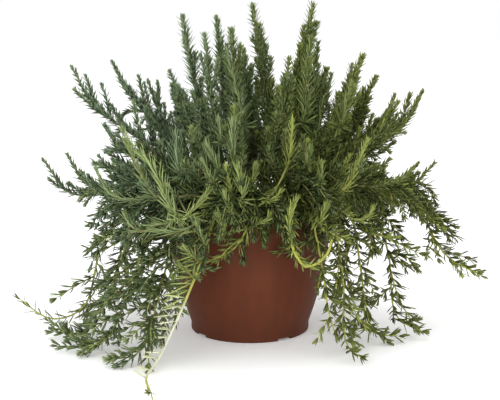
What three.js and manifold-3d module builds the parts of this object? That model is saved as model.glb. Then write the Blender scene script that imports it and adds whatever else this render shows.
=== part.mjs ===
// A trailing rosemary in a terracotta-coloured pot, in millimetres, +Z up.
// The origin is the middle of the pot's flat underside, and -Y is the side that the picture shows.
// Every leafy stem is one closed solid: a slim three-sided stem with whorls of needles raised from its faces.
import * as THREE from "three";
import { mergeVertices } from "three/addons/utils/BufferGeometryUtils.js";
import Module from "manifold-3d";

const wasm = await Module();
wasm.setup();

// Pot
const POT_HEIGHT = 155;
const POT_WALL_RADIUS = 99; // outside of the wall, right under the lip
const LIP_RADIUS = 102;
const LIP_HEIGHT = 9;
const LIP_ROUNDING = 1.5;
const FOOT_RADIUS = 72.5;
const FOOT_BAND = 10; // height of the upright band at the bottom
const FOOT_CHAMFER = 2;
const WALL = 3;
const FLOOR_TOP = 6.5;
const POT_SIDES = 40;
const WALL_STEPS = 4;
const CHANNEL_ANGLES = [-55, 35, 125, 215]; // drain channels, in degrees from the front, seen from above
const CHANNEL_WIDTH = 20;
const CHANNEL_DEPTH = 3;
const CHANNEL_START = 38;
const DRAIN_RADIUS = 4.5;
const DRAIN_PLACE = 54;
const DRAIN_SIDES = 10;
const CUT_PAST = 5; // how far a cutting shape runs past what it cuts

// Soil
const SOIL_TOP = 140;
const SOIL_MOUND = 4;
const SOIL_RINGS = [60, 30]; // radii of the rings that round the mound
const GAP = 0.3; // between pieces that touch
const SOIL_WALL_GAP = 0.6; // more than GAP, because the flat faces of the pot's wall cut its curve
const HOLE_DEPTH = 14;
const HOLE_SIDES = 6;

// Stems and needles
const BURIED = HOLE_DEPTH - GAP;
const STEM_BASE_RADIUS = 2.6; // of the circle round the three-sided section
const STEM_TIP_RADIUS = 1.15;
const UPRIGHT = 1; // how far a stem stands straight above the soil
const BARE_STEP = 22; // between the rings of a leafless stretch
const SHARP_BEND = 32; // degrees by which a stretch may turn before it gets a ring in its middle
const WHORL_HEIGHT = 2.2; // length of stem that a whorl grows from
const TWIST = Math.PI / 6; // from one whorl to the next, so that needles stand on all sides
const NEEDLE_LENGTH = 18;
const NEEDLE_SPREAD = 0.28; // share by which needles differ in length
const NEEDLE_WOBBLE = 0.3; // radians by which a needle may turn round the stem
const NEEDLE_ROOT_RADIUS = 1.5; // room that a needle's root takes, for keeping needles apart
const NEEDLE_CLEARANCE = 0.15;
const NEEDLE_REACH = 25; // no needle is longer
const ROOT_SHARE = 0.35; // of a needle, which may lie close to its own whorl and the stem beside it
const TIP_SHARE = 0.16; // of a stem's leafy length, over which its needles close up towards the tip
const TIP_LEAN = 0.5; // share of the lean and of the length that the last needles lose
const TIP_SHORTENING = 0.3;
// What a needle that would touch something tries: [share of its lean, turn round the stem].
const NEEDLE_TRIES = [[1, 0], [0.7, 0], [1, 0.3], [1, -0.3], [0.45, 0], [1.35, 0]];
const NEEDLE_CHECKS = [0.5, 0.8, 1]; // places along a needle that are kept clear of the pot and the soil
const FLOOR_CLEARANCE = 0.8; // from the surface that the pot stands on
const POT_CLEARANCE = 1.5;
const SOIL_CLEARANCE = 1;
const BUD_LENGTH = 4; // of a stem's last stretch, above its last whorl
const RIM_CREST = [97, 180]; // radius and height at which a falling stem passes over the rim
const RIM_RISE = [0.35, 167]; // share of the way to that crest, and the height there

// How the needles of each form of stem are set: the distance between whorls, the angle of a needle from
// the stem in degrees, and how far up the stem the first whorl is.
const FORMS = {
  spire: { pitch: 18, lean: 48, bare: 34 },
  arch: { pitch: 18.5, lean: 50, bare: 50 },
  trail: { pitch: 22.5, lean: 54, bare: 66 },
};

// Each stem's name, form, foot on the soil [x, y] and the points [x, y, z] that it then passes through.
const STEMS = [
  // upright stems of the middle
  ["spire_left_1", "spire", [-36, 2], [-58, 0, 262], [-80, 0, 378]],
  ["spire_left_2", "spire", [-27, -17], [-42, -20, 255], [-53, -22, 357]],
  ["spire_left_3", "spire", [-20, 20], [-28, 22, 260], [-40, 20, 377]],
  ["spire_left_4", "spire", [-10, -6], [-15, -8, 250], [-22, -10, 363]],
  ["spire_middle", "spire", [19, 22], [22, 24, 265], [3, 20, 392]],
  ["spire_right_1", "spire", [21, 0], [52, -2, 260], [74, 0, 392]],
  ["spire_right_2", "spire", [33, 14], [68, 18, 236], [92, 14, 316]],
  ["spire_right_3", "spire", [10, -22], [34, -26, 240], [46, -24, 330]],
  ["spire_right_4", "spire", [38, -10], [96, -12, 240], [134, 0, 333]],
  ["spire_right_5", "spire", [44, 30], [112, 34, 225], [153, 24, 306]],
  ["spire_back_1", "spire", [2, 44], [0, 62, 240], [-8, 70, 338]],
  ["spire_back_2", "spire", [30, 48], [50, 76, 235], [66, 92, 318]],
  ["spire_back_3", "spire", [-26, 44], [-70, 70, 232], [-102, 84, 310]],
  ["spire_back_4", "spire", [-34, 28], [-62, 38, 222], [-90, 46, 294]],
  // shorter upright stems of the front
  ["spire_front_1", "spire", [-12, -30], [-16, -52, 215], [-18, -60, 275]],
  ["spire_front_2", "spire", [-38, -30], [-54, -54, 205], [-66, -62, 252]],
  ["spire_front_3", "spire", [36, -26], [66, -62, 188], [80, -80, 214]],
  ["spire_front_4", "spire", [25, -14], [52, -48, 196], [66, -60, 236]],
  // stems that lean out and turn up at the tip
  ["arch_left_1", "arch", [-48, 14], [-130, 18, 228], [-188, 22, 270], [-216, 24, 318]],
  ["arch_left_2", "arch", [-46, 32], [-112, 48, 240], [-150, 56, 285], [-172, 60, 323]],
  ["arch_left_3", "arch", [-42, 52], [-104, 80, 232], [-131, 90, 299]],
  ["arch_left_4", "arch", [-52, -6], [-118, -12, 205], [-152, -18, 222], [-172, -20, 252]],
  ["arch_left_5", "arch", [-64, 4], [-126, 2, 178], [-215, 2, 166], [-250, 0, 208]],
  ["arch_left_6", "arch", [-60, 26], [-124, 44, 186], [-205, 62, 168], [-232, 66, 206]],
  ["arch_left_7", "arch", [-52, -32], [-108, -68, 190], [-165, -88, 178], [-190, -92, 206]],
  ["arch_right_1", "arch", [54, 14], [120, 18, 216], [164, 30, 248], [178, 36, 284]],
  ["arch_right_2", "arch", [54, -8], [120, -10, 205], [180, -4, 246], [206, 0, 290]],
  ["arch_right_3", "arch", [60, 34], [120, 62, 196], [158, 78, 215], [172, 84, 250]],
  ["arch_right_4", "arch", [52, -34], [106, -78, 188], [160, -94, 188], [188, -96, 216]],
  ["arch_right_5", "arch", [70, 4], [128, 6, 182], [196, 12, 176], [226, 14, 202]],
  ["arch_right_6", "arch", [52, -20], [104, -34, 200], [144, -34, 232], [162, -26, 270]],
  ["arch_back_1", "arch", [-20, 64], [-42, 120, 205], [-58, 160, 232], [-62, 178, 270]],
  ["arch_back_2", "arch", [14, 66], [26, 124, 200], [40, 176, 222], [46, 198, 262]],
  ["arch_back_3", "arch", [46, 56], [92, 112, 196], [122, 150, 212], [132, 166, 246]],
  ["arch_front_1", "arch", [26, -36], [38, -78, 196], [44, -106, 224], [46, -116, 264]],
  ["arch_front_2", "arch", [-26, -44], [-62, -112, 182], [-100, -138, 184], [-134, -140, 246]],
  ["arch_front_3", "arch", [-4, -42], [-8, -92, 186], [-18, -124, 180], [-26, -136, 218]],
  ["arch_front_4", "arch", [42, -44], [72, -96, 180], [104, -116, 190], [128, -118, 244]],
  // stems that fall over the rim, and lie along the surface where they are long enough
  ["trail_front_left", "trail", [-24, -62], [-36, -112, 168], [-60, -134, 96], [-98, -160, 12],
    [-108, -208, 6], [-98, -262, 7]],
  ["trail_front_middle", "trail", [2, -66], [4, -116, 166], [-16, -132, 128], [-44, -130, 112]],
  ["trail_front_curl", "trail", [28, -60], [44, -112, 164], [47, -128, 126], [62, -132, 106],
    [84, -128, 118], [92, -124, 146]],
  ["trail_left_1", "trail", [-50, -48], [-98, -84, 164], [-130, -104, 92], [-166, -112, 14], [-222, -108, 8]],
  ["trail_left_2", "trail", [-66, -32], [-124, -56, 160], [-156, -66, 84], [-190, -62, 14], [-240, -50, 8]],
  ["trail_left_3", "trail", [-76, -16], [-134, -26, 166], [-176, -32, 110], [-200, -34, 34],
    [-240, -30, 18], [-284, -22, 44]],
  ["trail_left_4", "trail", [-78, 16], [-134, 24, 164], [-160, 28, 96], [-178, 34, 22], [-214, 52, 9]],
  ["trail_left_5", "trail", [-44, -58], [-78, -104, 158], [-98, -128, 84], [-122, -152, 14], [-154, -156, 8]],
  ["trail_right_1", "trail", [56, -54], [88, -96, 164], [104, -112, 88], [108, -126, 16], [124, -152, 7]],
  ["trail_right_2", "trail", [68, -36], [112, -64, 162], [128, -76, 90], [140, -78, 18], [178, -70, 8]],
  ["trail_right_3", "trail", [76, -16], [136, -26, 168], [164, -34, 104], [176, -44, 24], [208, -58, 9]],
  ["trail_right_4", "trail", [80, 20], [150, 30, 176], [206, 28, 146], [242, 14, 88], [288, 2, 62]],
  ["trail_right_5", "trail", [66, 50], [112, 86, 158], [126, 98, 84], [134, 112, 12], [152, 154, 8]],
  ["trail_right_6", "trail", [44, -68], [66, -106, 162], [80, -118, 104], [88, -120, 52], [97, -124, 22]],
  ["trail_back_1", "trail", [40, 76], [62, 120, 162], [72, 140, 92], [78, 158, 14], [98, 210, 7]],
  ["trail_back_2", "trail", [-2, 84], [-4, 134, 164], [-6, 154, 92], [-4, 172, 14], [-18, 222, 7]],
  ["trail_back_3", "trail", [-44, 74], [-70, 118, 162], [-84, 138, 90], [-94, 160, 14], [-120, 206, 7]],
  ["trail_back_4", "trail", [-70, 46], [-120, 78, 162], [-140, 92, 88], [-152, 106, 14], [-190, 130, 7]],
];

const FIRST_SEED = 1000;

// A repeatable draw from 0 to 1.
function seededDraw(seed) {
  let state = seed;
  return () => {
    state = (state + 0x6d2b79f5) | 0;
    let t = Math.imul(state ^ (state >>> 15), 1 | state);
    t = (t + Math.imul(t ^ (t >>> 7), 61 | t)) ^ t;
    return ((t ^ (t >>> 14)) >>> 0) / 4294967296;
  };
}

const radians = THREE.MathUtils.degToRad;

// A closed three.js geometry as a manifold-3d solid, and back.
function toSolid(geometry) {
  const bare = geometry.index ? geometry.toNonIndexed() : geometry.clone();
  bare.deleteAttribute("normal");
  bare.deleteAttribute("uv");
  const merged = mergeVertices(bare, 1e-4);
  return new wasm.Manifold(
    new wasm.Mesh({
      numProp: 3,
      vertProperties: merged.attributes.position.array,
      triVerts: new Uint32Array(merged.index.array),
    }),
  );
}

function toGeometry(solid) {
  const mesh = solid.getMesh();
  return new THREE.BufferGeometry()
    .setAttribute("position", new THREE.BufferAttribute(new Float32Array(mesh.vertProperties), 3))
    .setIndex(new THREE.BufferAttribute(new Uint32Array(mesh.triVerts), 1));
}

// The outside radius of the pot's wall at a height: an upright foot band, then a belly that ends upright.
function wallRadius(z) {
  const share = Math.max(0, (z - FOOT_BAND) / (POT_HEIGHT - FOOT_BAND));
  return POT_WALL_RADIUS - (POT_WALL_RADIUS - FOOT_RADIUS) * (1 - share) ** 2;
}

function innerRadius(z) {
  return wallRadius(z) - WALL;
}

// A solid of revolution about Z from [radius, height] points, given from the bottom up the outside.
function turned(profile, sides) {
  const points = profile.map(([radius, height]) => new THREE.Vector2(radius, height));
  return new THREE.LatheGeometry(points, sides).rotateX(Math.PI / 2);
}

function makePot() {
  const lipBottom = POT_HEIGHT - LIP_HEIGHT;
  const outside = [];
  const inside = [];
  for (let i = 0; i <= WALL_STEPS; i++) {
    const up = FOOT_BAND + ((lipBottom - FOOT_BAND) * i) / WALL_STEPS;
    outside.push([wallRadius(up), up]);
    const down = POT_HEIGHT - ((POT_HEIGHT - FOOT_BAND) * i) / WALL_STEPS;
    inside.push([innerRadius(down), down]);
  }
  const profile = [
    [0, 0],
    [FOOT_RADIUS - FOOT_CHAMFER, 0],
    [FOOT_RADIUS, FOOT_CHAMFER],
    ...outside,
    [LIP_RADIUS, lipBottom + LIP_ROUNDING],
    [LIP_RADIUS, POT_HEIGHT - LIP_ROUNDING],
    [LIP_RADIUS - LIP_ROUNDING, POT_HEIGHT],
    ...inside,
    [FOOT_RADIUS - WALL - FOOT_CHAMFER, FLOOR_TOP],
    [0, FLOOR_TOP],
  ];
  let pot = toSolid(turned(profile, POT_SIDES));
  const channelLength = FOOT_RADIUS + CUT_PAST - CHANNEL_START;
  for (const angle of CHANNEL_ANGLES) {
    const turn = radians(angle - 90);
    const channel = new THREE.BoxGeometry(channelLength, CHANNEL_WIDTH, 2 * CHANNEL_DEPTH)
      .translate(CHANNEL_START + channelLength / 2, 0, 0)
      .rotateZ(turn);
    const drainLength = 2 * (FLOOR_TOP + CUT_PAST);
    const drain = new THREE.CylinderGeometry(DRAIN_RADIUS, DRAIN_RADIUS, drainLength, DRAIN_SIDES)
      .rotateX(Math.PI / 2)
      .translate(DRAIN_PLACE, 0, 0)
      .rotateZ(turn);
    pot = pot.subtract(toSolid(channel)).subtract(toSolid(drain));
  }
  return toGeometry(pot);
}

// The height of the soil's surface at a distance from the axis.
function soilHeight(radius) {
  const share = Math.min(1, radius / (innerRadius(SOIL_TOP) - SOIL_WALL_GAP));
  return SOIL_TOP + SOIL_MOUND * (1 - share ** 2);
}

function makeSoil() {
  const bottom = FLOOR_TOP + GAP;
  const profile = [[0, bottom], [innerRadius(0) - FOOT_CHAMFER - SOIL_WALL_GAP, bottom]];
  for (let i = 0; i <= WALL_STEPS; i++) {
    const height = FOOT_BAND + ((SOIL_TOP - FOOT_BAND) * i) / WALL_STEPS;
    profile.push([innerRadius(height) - SOIL_WALL_GAP, height]);
  }
  profile.push(...SOIL_RINGS.map((radius) => [radius, soilHeight(radius)]), [0, soilHeight(0)]);
  const holes = STEMS.map(([, , [x, y]]) => {
    const top = soilHeight(Math.hypot(x, y));
    const radius = (STEM_BASE_RADIUS + GAP) / Math.cos(Math.PI / HOLE_SIDES);
    const hole = new THREE.CylinderGeometry(radius, radius, 2 * HOLE_DEPTH, HOLE_SIDES)
      .rotateX(Math.PI / 2)
      .translate(x, y, top);
    return toSolid(hole);
  });
  return toGeometry(toSolid(turned(profile, POT_SIDES)).subtract(wasm.Manifold.union(holes)));
}

// The curve of a stem above the soil. A falling stem rises to a crest over the rim first.
function stemCurve([, form, foot, ...points]) {
  const start = new THREE.Vector3(...foot, soilHeight(Math.hypot(...foot)));
  const path = points.map((p) => new THREE.Vector3(...p));
  if (form === "trail") {
    const share = RIM_CREST[0] / Math.hypot(path[0].x, path[0].y);
    const crest = path[0].clone().multiplyScalar(share).setZ(RIM_CREST[1]);
    path.unshift(start.clone().lerp(crest, RIM_RISE[0]).setZ(RIM_RISE[1]), crest);
  }
  return new THREE.CatmullRomCurve3([start, ...path]);
}

// The rings of a stem from its buried end to its tip. A whorl's needles grow between its ring and the next.
function stemRings(stem, index) {
  const form = FORMS[stem[1]];
  const curve = stemCurve(stem);
  const length = curve.getLength();
  const places = [];
  for (let s = 0; s < form.bare - BARE_STEP / 2; s += BARE_STEP) places.push({ s, whorl: false });
  const whorls = Math.round((length - form.bare - WHORL_HEIGHT) / form.pitch);
  const pitch = (length - form.bare - WHORL_HEIGHT - BUD_LENGTH) / whorls;
  for (let i = 0; i <= whorls; i++) {
    const s = form.bare + i * pitch;
    places.push({ s, whorl: true }, { s: s + WHORL_HEIGHT, whorl: false });
  }
  const foot = curve.getPointAt(0);
  const upright = new THREE.Vector3(0, 0, 1);
  const rings = [
    { centre: foot.clone().addScaledVector(upright, -BURIED), tangent: upright, s: -BURIED },
    { centre: foot.clone().addScaledVector(upright, UPRIGHT), tangent: upright, s: 0 },
  ];
  const ringAt = (s, whorl) => {
    return { centre: curve.getPointAt(s / length), tangent: curve.getTangentAt(s / length), s, whorl };
  };
  for (const { s, whorl } of places.slice(1)) {
    const previous = rings.at(-1);
    const ring = ringAt(s, whorl);
    if (previous.tangent.angleTo(ring.tangent) > radians(SHARP_BEND)) {
      rings.push(ringAt((previous.s + s) / 2, false));
    }
    rings.push(ring);
  }
  let side = new THREE.Vector3(Math.cos(index), Math.sin(index), 0);
  let turn = 0;
  for (const ring of rings) {
    side = side.addScaledVector(ring.tangent, -side.dot(ring.tangent)).normalize();
    ring.side = side.clone();
    ring.other = new THREE.Vector3().crossVectors(ring.tangent, side);
    if (ring.whorl) turn += TWIST;
    ring.turn = turn;
    ring.radius = THREE.MathUtils.lerp(STEM_BASE_RADIUS, STEM_TIP_RADIUS, Math.max(0, ring.s / length));
    ring.leafy = Math.max(0, (ring.s - form.bare) / (length - form.bare));
  }
  return { rings, end: curve.getPointAt(1), form };
}

// The direction that points away from a ring's centre at an angle round the stem.
function around(ring, angle) {
  return new THREE.Vector3()
    .addScaledVector(ring.side, Math.cos(angle))
    .addScaledVector(ring.other, Math.sin(angle));
}

// The least distance between two segments, and how far along each it lies.
function segmentGap(a, b, c, d) {
  const u = b.clone().sub(a);
  const v = d.clone().sub(c);
  const w = a.clone().sub(c);
  const uu = u.dot(u);
  const uv = u.dot(v);
  const vv = v.dot(v);
  const uw = u.dot(w);
  const vw = v.dot(w);
  const det = uu * vv - uv * uv;
  const parallel = det < 1e-9;
  let s = parallel ? 0 : THREE.MathUtils.clamp((uv * vw - vv * uw) / det, 0, 1);
  const t = THREE.MathUtils.clamp((uv * s + vw) / vv, 0, 1);
  s = THREE.MathUtils.clamp((uv * t - uw) / uu, 0, 1);
  return { gap: w.addScaledVector(u, s).addScaledVector(v, -t).length(), s, t };
}

// Whether a point on a needle stays clear of the pot, the soil and the surface that the pot stands on.
function pointIsClear(point) {
  const distance = Math.hypot(point.x, point.y);
  if (point.z < FLOOR_CLEARANCE) return false;
  if (distance < innerRadius(point.z) - POT_CLEARANCE) return point.z > soilHeight(distance) + SOIL_CLEARANCE;
  const outside = point.z > POT_HEIGHT - LIP_HEIGHT ? LIP_RADIUS : wallRadius(point.z);
  return point.z > POT_HEIGHT + POT_CLEARANCE || distance > outside + POT_CLEARANCE;
}

// Whether a needle stays clear of the pot and of what is placed: every stem and its needles.
function needleIsClear(needle, placed) {
  const { from, to } = needle;
  if (!NEEDLE_CHECKS.every((share) => pointIsClear(from.clone().lerp(to, share)))) return false;
  return placed.every((other) => {
    if (from.distanceTo(other.middle) > NEEDLE_REACH + other.reach) return true;
    const beside = other.owner === needle.owner && Math.abs(other.ring - needle.ring) < 2;
    const start = beside ? ROOT_SHARE : 0;
    const { gap, s, t } = segmentGap(from.clone().lerp(to, start), to, other.from, other.to);
    const mine = needle.radius * (1 - start) * (1 - s);
    const its = other.radius * (other.tapers ? 1 - t : 1);
    return gap > mine + its + NEEDLE_CLEARANCE;
  });
}

// A stretch of stem, or a needle that tapers, as the room that it takes.
function takenRoom(owner, ring, from, to, radius, tapers) {
  const middle = from.clone().lerp(to, 0.5);
  return { owner, ring, from, to, radius, tapers, middle, reach: from.distanceTo(to) / 2 + radius };
}

// A leafy stem's mesh. A whorl's three faces are each two triangles, and each of them becomes the foot of a
// needle where that is clear. The two needles of a face keep the same lean, so that they never cross.
function makeStem({ rings, end, form }, owner, placed, draw) {
  const positions = [];
  const faces = [];
  const add = (p) => positions.push(p.x, p.y, p.z) / 3 - 1;
  const corner = (i) => new THREE.Vector3().fromArray(positions, 3 * i);
  const loops = rings.map((ring) =>
    [0, 1, 2].map((k) => {
      const outward = around(ring, ring.turn + (k * 2 * Math.PI) / 3);
      return add(outward.multiplyScalar(ring.radius).add(ring.centre));
    }),
  );

  const needleSize = (ring, place, triangle, angle) => {
    const closing = Math.max(0, 1 - (1 - ring.leafy) / TIP_SHARE);
    return {
      ring,
      place,
      triangle,
      root: triangle.reduce((sum, i) => sum.add(corner(i)), new THREE.Vector3()).divideScalar(3),
      lean: form.lean * (1 - TIP_LEAN * closing),
      length: NEEDLE_LENGTH * (1 + NEEDLE_SPREAD * (draw() - 0.5)) * (1 - TIP_SHORTENING * closing),
      angle: angle + NEEDLE_WOBBLE * (draw() - 0.5),
    };
  };
  const leaning = ({ ring, place, root, lean, length, angle }, [bend, swing]) => {
    const tilt = radians(lean * bend);
    const direction = around(ring, angle + swing)
      .multiplyScalar(Math.sin(tilt))
      .addScaledVector(ring.tangent, Math.cos(tilt));
    const tip = root.clone().addScaledVector(direction, length);
    return takenRoom(owner, place, root, tip, NEEDLE_ROOT_RADIUS, true);
  };
  const raise = (sizes) => {
    for (const attempt of NEEDLE_TRIES) {
      const needles = sizes.map((size) => leaning(size, attempt));
      if (!needles.every((needle) => needleIsClear(needle, placed))) continue;
      placed.push(...needles);
      sizes.forEach(({ triangle: [a, b, c] }, i) => {
        const apex = add(needles[i].to);
        faces.push([a, b, apex], [b, c, apex], [c, a, apex]);
      });
      return true;
    }
    return false;
  };

  rings.slice(0, -1).forEach((ring, i) => {
    for (let k = 0; k < 3; k++) {
      const [a, b] = [loops[i][k], loops[i][(k + 1) % 3]];
      const [d, c] = [loops[i + 1][k], loops[i + 1][(k + 1) % 3]];
      const facing = ring.turn + ((2 * k + 1) * Math.PI) / 3;
      const [right, left] = [[a, b, c], [a, c, d]];
      if (!ring.whorl) {
        faces.push(right, left);
        continue;
      }
      const sizes = [needleSize(ring, i, right, facing + TWIST), needleSize(ring, i, left, facing - TWIST)];
      if (raise(sizes)) continue;
      const raised = raise([sizes[0]]) ? 0 : raise([sizes[1]]) ? 1 : -1;
      sizes.forEach(({ triangle }, which) => {
        if (which !== raised) faces.push(triangle);
      });
    }
  });
  const [first, last] = [loops[0], loops.at(-1)];
  faces.push([first[0], first[2], first[1]]);
  const bud = add(end);
  for (let k = 0; k < 3; k++) faces.push([last[k], last[(k + 1) % 3], bud]);
  return new THREE.BufferGeometry()
    .setAttribute("position", new THREE.Float32BufferAttribute(positions, 3))
    .setIndex(faces.flat());
}

const FINISHES = {
  pot: { color: 0x6b3a2a, roughness: 0.62, metalness: 0 },
  soil: { color: 0x2c2119, roughness: 0.95, metalness: 0 },
  spire: { color: 0x52663f, roughness: 0.6, metalness: 0 },
  arch: { color: 0x5a7046, roughness: 0.6, metalness: 0 },
  trail: { color: 0x66793f, roughness: 0.6, metalness: 0 },
};

function named(name, geometry, finish) {
  const mesh = new THREE.Mesh(geometry, new THREE.MeshStandardMaterial(FINISHES[finish]));
  mesh.name = name;
  return mesh;
}

const rosemary = new THREE.Group();
rosemary.add(named("pot", makePot(), "pot"));
rosemary.add(named("soil", makeSoil(), "soil"));

const grown = STEMS.map(stemRings);
const placed = [];
grown.forEach(({ rings }, owner) => {
  for (let i = 1; i < rings.length; i++) {
    placed.push(takenRoom(owner, i - 1, rings[i - 1].centre, rings[i].centre, rings[i - 1].radius, false));
  }
});
const leafyStems = new THREE.Group();
STEMS.forEach(([name, form], owner) => {
  const geometry = makeStem(grown[owner], owner, placed, seededDraw(FIRST_SEED + owner));
  leafyStems.add(named(name, geometry, form));
});
rosemary.add(leafyStems);

export default rosemary;
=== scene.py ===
"""Dresses the potted trailing rosemary: its clay-coloured plastic pot, its soil and its leafy stems.

Every stem of the CAD frame is stood for by one finer piece: a round woody stem with side shoots, pairs of
needle leaves and tufts of young leaves in their axils. The needle leaf, the stem and the soil crumb are
modelled once and copied, each copy with its own vertices.
"""

import logging
import math
from dataclasses import dataclass, field, replace
from enum import Enum

import bmesh
import bpy
import numpy as np
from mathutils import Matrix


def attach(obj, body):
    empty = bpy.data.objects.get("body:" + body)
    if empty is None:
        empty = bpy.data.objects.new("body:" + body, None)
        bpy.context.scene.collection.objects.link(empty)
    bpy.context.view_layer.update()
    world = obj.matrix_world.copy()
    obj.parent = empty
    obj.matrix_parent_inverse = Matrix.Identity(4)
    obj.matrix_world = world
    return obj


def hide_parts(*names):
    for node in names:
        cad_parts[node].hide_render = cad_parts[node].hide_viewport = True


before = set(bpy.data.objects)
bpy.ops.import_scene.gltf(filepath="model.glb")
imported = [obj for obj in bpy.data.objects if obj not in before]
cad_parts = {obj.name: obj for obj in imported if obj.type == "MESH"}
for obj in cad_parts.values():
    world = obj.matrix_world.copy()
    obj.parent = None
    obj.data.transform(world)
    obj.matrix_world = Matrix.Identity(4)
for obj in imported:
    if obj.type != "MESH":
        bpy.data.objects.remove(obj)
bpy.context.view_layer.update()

LOG = logging.getLogger("rosemary")

MM = 0.001
UP = np.array([0.0, 0.0, 1.0])
LEVEL = np.array([1.0, 1.0, 0.0])
Colour = tuple[float, float, float]
Numbers = tuple[float, ...]
Point = Numbers
Points = tuple[Point, ...]
Span = tuple[float, float]
Triple = tuple[float, float, float]
Array = np.ndarray
Material = bpy.types.Material
Piece = bpy.types.Object

# The leaf's own map, the map for baking, and the attributes that the leaf and bark materials read
LEAF_MAP = "LeafMap"
BAKE_MAP = "OFBake"
GROWTH = "growth"
DRYNESS = "dryness"


# Shader helpers


class Signal:
    """A socket of a material's node tree. Arithmetic on it adds Math nodes to the tree."""

    def __init__(self, sheet: "Sheet", socket: bpy.types.NodeSocket) -> None:
        """Wraps an output socket of a material."""
        self.sheet = sheet
        self.socket = socket

    def maths(self, operation: str, first: "Input", second: "Input") -> "Signal":
        """The output of a new Math node."""
        return self.sheet.node("ShaderNodeMath", {"operation": operation}, {0: first, 1: second})

    def __radd__(self, other: "Input") -> "Signal":
        """Another value plus this one."""
        return self.maths("ADD", other, self)

    def __rsub__(self, other: "Input") -> "Signal":
        """Another value less this one."""
        return self.maths("SUBTRACT", other, self)

    def __mul__(self, other: "Input") -> "Signal":
        """This value times another."""
        return self.maths("MULTIPLY", self, other)

    def folded(self, length: float) -> "Signal":
        """Goes up to a length and back to 0, again and again, as this value grows."""
        return self.maths("PINGPONG", self, length)

    def within(self, low: float, high: float) -> "Signal":
        """Rises smoothly from 0 to 1 as this value goes from low to high.

        Args:
            low: Where the result is 0. It may be the larger of the two, and the result then falls.
            high: Where the result is 1.

        Returns:
            The eased share.
        """
        if low > high:
            return 1.0 - self.within(high, low)
        settings = {"interpolation_type": "SMOOTHSTEP"}
        return self.sheet.node("ShaderNodeMapRange", settings, {0: self, 1: low, 2: high})


Input = Signal | float | tuple


class Sheet:
    """A material under construction, with its one surface shader."""

    def __init__(self, name: str) -> None:
        """Starts an empty material.

        Args:
            name: The material's name.
        """
        self.material = bpy.data.materials.new(name)
        self.material.use_nodes = True
        self.tree = self.material.node_tree
        self.tree.nodes.clear()
        self.shader = self.tree.nodes.new("ShaderNodeBsdfPrincipled")
        output = self.tree.nodes.new("ShaderNodeOutputMaterial")
        self.tree.links.new(self.shader.outputs[0], output.inputs["Surface"])

    def feed(self, socket: bpy.types.NodeSocket, value: Input) -> None:
        """Gives a socket its value, or links it.

        Args:
            socket: The input socket.
            value: A number, a colour, a vector or a signal.
        """
        if isinstance(value, Signal):
            self.tree.links.new(value.socket, socket)
        elif isinstance(value, tuple) and socket.type == "RGBA":
            socket.default_value = (*value, 1.0)
        else:
            socket.default_value = value

    def node(self, kind: str, settings: dict, inputs: dict, output: int | str = 0) -> Signal:
        """Adds a node.

        Args:
            kind: The node's type.
            settings: Its properties, which are set first.
            inputs: Values or signals for its sockets, by name or number.
            output: The output that is returned, by name or number.

        Returns:
            One output of the node.
        """
        made = self.tree.nodes.new(kind)
        for name, value in settings.items():
            setattr(made, name, value)
        for key, value in inputs.items():
            self.feed(made.inputs[key], value)
        return Signal(self, made.outputs[output])

    def mix(self, share: Input, first: Input, second: Input, blend: str = "MIX") -> Signal:
        """The mixture of two colours, in which the second one has a share from 0 to 1."""
        settings = {"data_type": "RGBA", "blend_type": blend}
        return self.node("ShaderNodeMix", settings, {0: share, 6: first, 7: second}, 2)

    def place(self, stretch: Triple = (1.0, 1.0, 1.0)) -> Signal:
        """The object's own coordinates, stretched along each axis."""
        coordinates = self.node("ShaderNodeTexCoord", {}, {}, "Object")
        return self.node("ShaderNodeMapping", {}, {"Vector": coordinates, "Scale": stretch})

    def noise(self, cells: float | Triple, detail: float) -> Signal:
        """Soft noise around 0.5, on the object's own coordinates.

        Args:
            cells: How many cells it has in a metre, or in a metre along each axis.
            detail: How many finer layers it has.

        Returns:
            The noise.
        """
        stretched = isinstance(cells, tuple)
        vector = self.place(cells) if stretched else self.place()
        scale = 1.0 if stretched else cells
        return self.node("ShaderNodeTexNoise", {}, {"Vector": vector, "Scale": scale, "Detail": detail})

    def axes(self, vector: Signal) -> tuple[Signal, ...]:
        """The X, Y and Z of a vector."""
        node = self.node("ShaderNodeSeparateXYZ", {}, {0: vector}).socket.node
        return tuple(Signal(self, output) for output in node.outputs)

    def attribute(self, name: str, output: str) -> Signal:
        """What the mesh carries under a name."""
        return self.node("ShaderNodeAttribute", {"attribute_name": name}, {}, output)

    def bump(self, height: Signal, depth: float, strength: float) -> Signal:
        """The normal of a relief whose height goes from 0 to 1, and whose depth is in metres."""
        return self.node("ShaderNodeBump", {}, {"Height": height, "Distance": depth, "Strength": strength})

    def finish(self, **values: Input) -> Material:
        """Feeds the surface shader, and gives the finished material.

        Args:
            values: The shader's sockets, with an underscore for each space.

        Returns:
            The material.
        """
        for name, value in values.items():
            self.feed(self.shader.inputs[name.replace("_", " ")], value)
        return self.material


# Finishes. A range says where an effect sets in and where it is full, and a share how much of it shows.

# Painted light: past this range of freshness leaves and bark turn pale yellow-white, a painted glare that
# stands for strong backlight on pale young shoots.
PAINTED_GLARE_RANGE: Span = (1.3, 2.0)  # the freshness at which leaves and bark turn to cream


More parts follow.
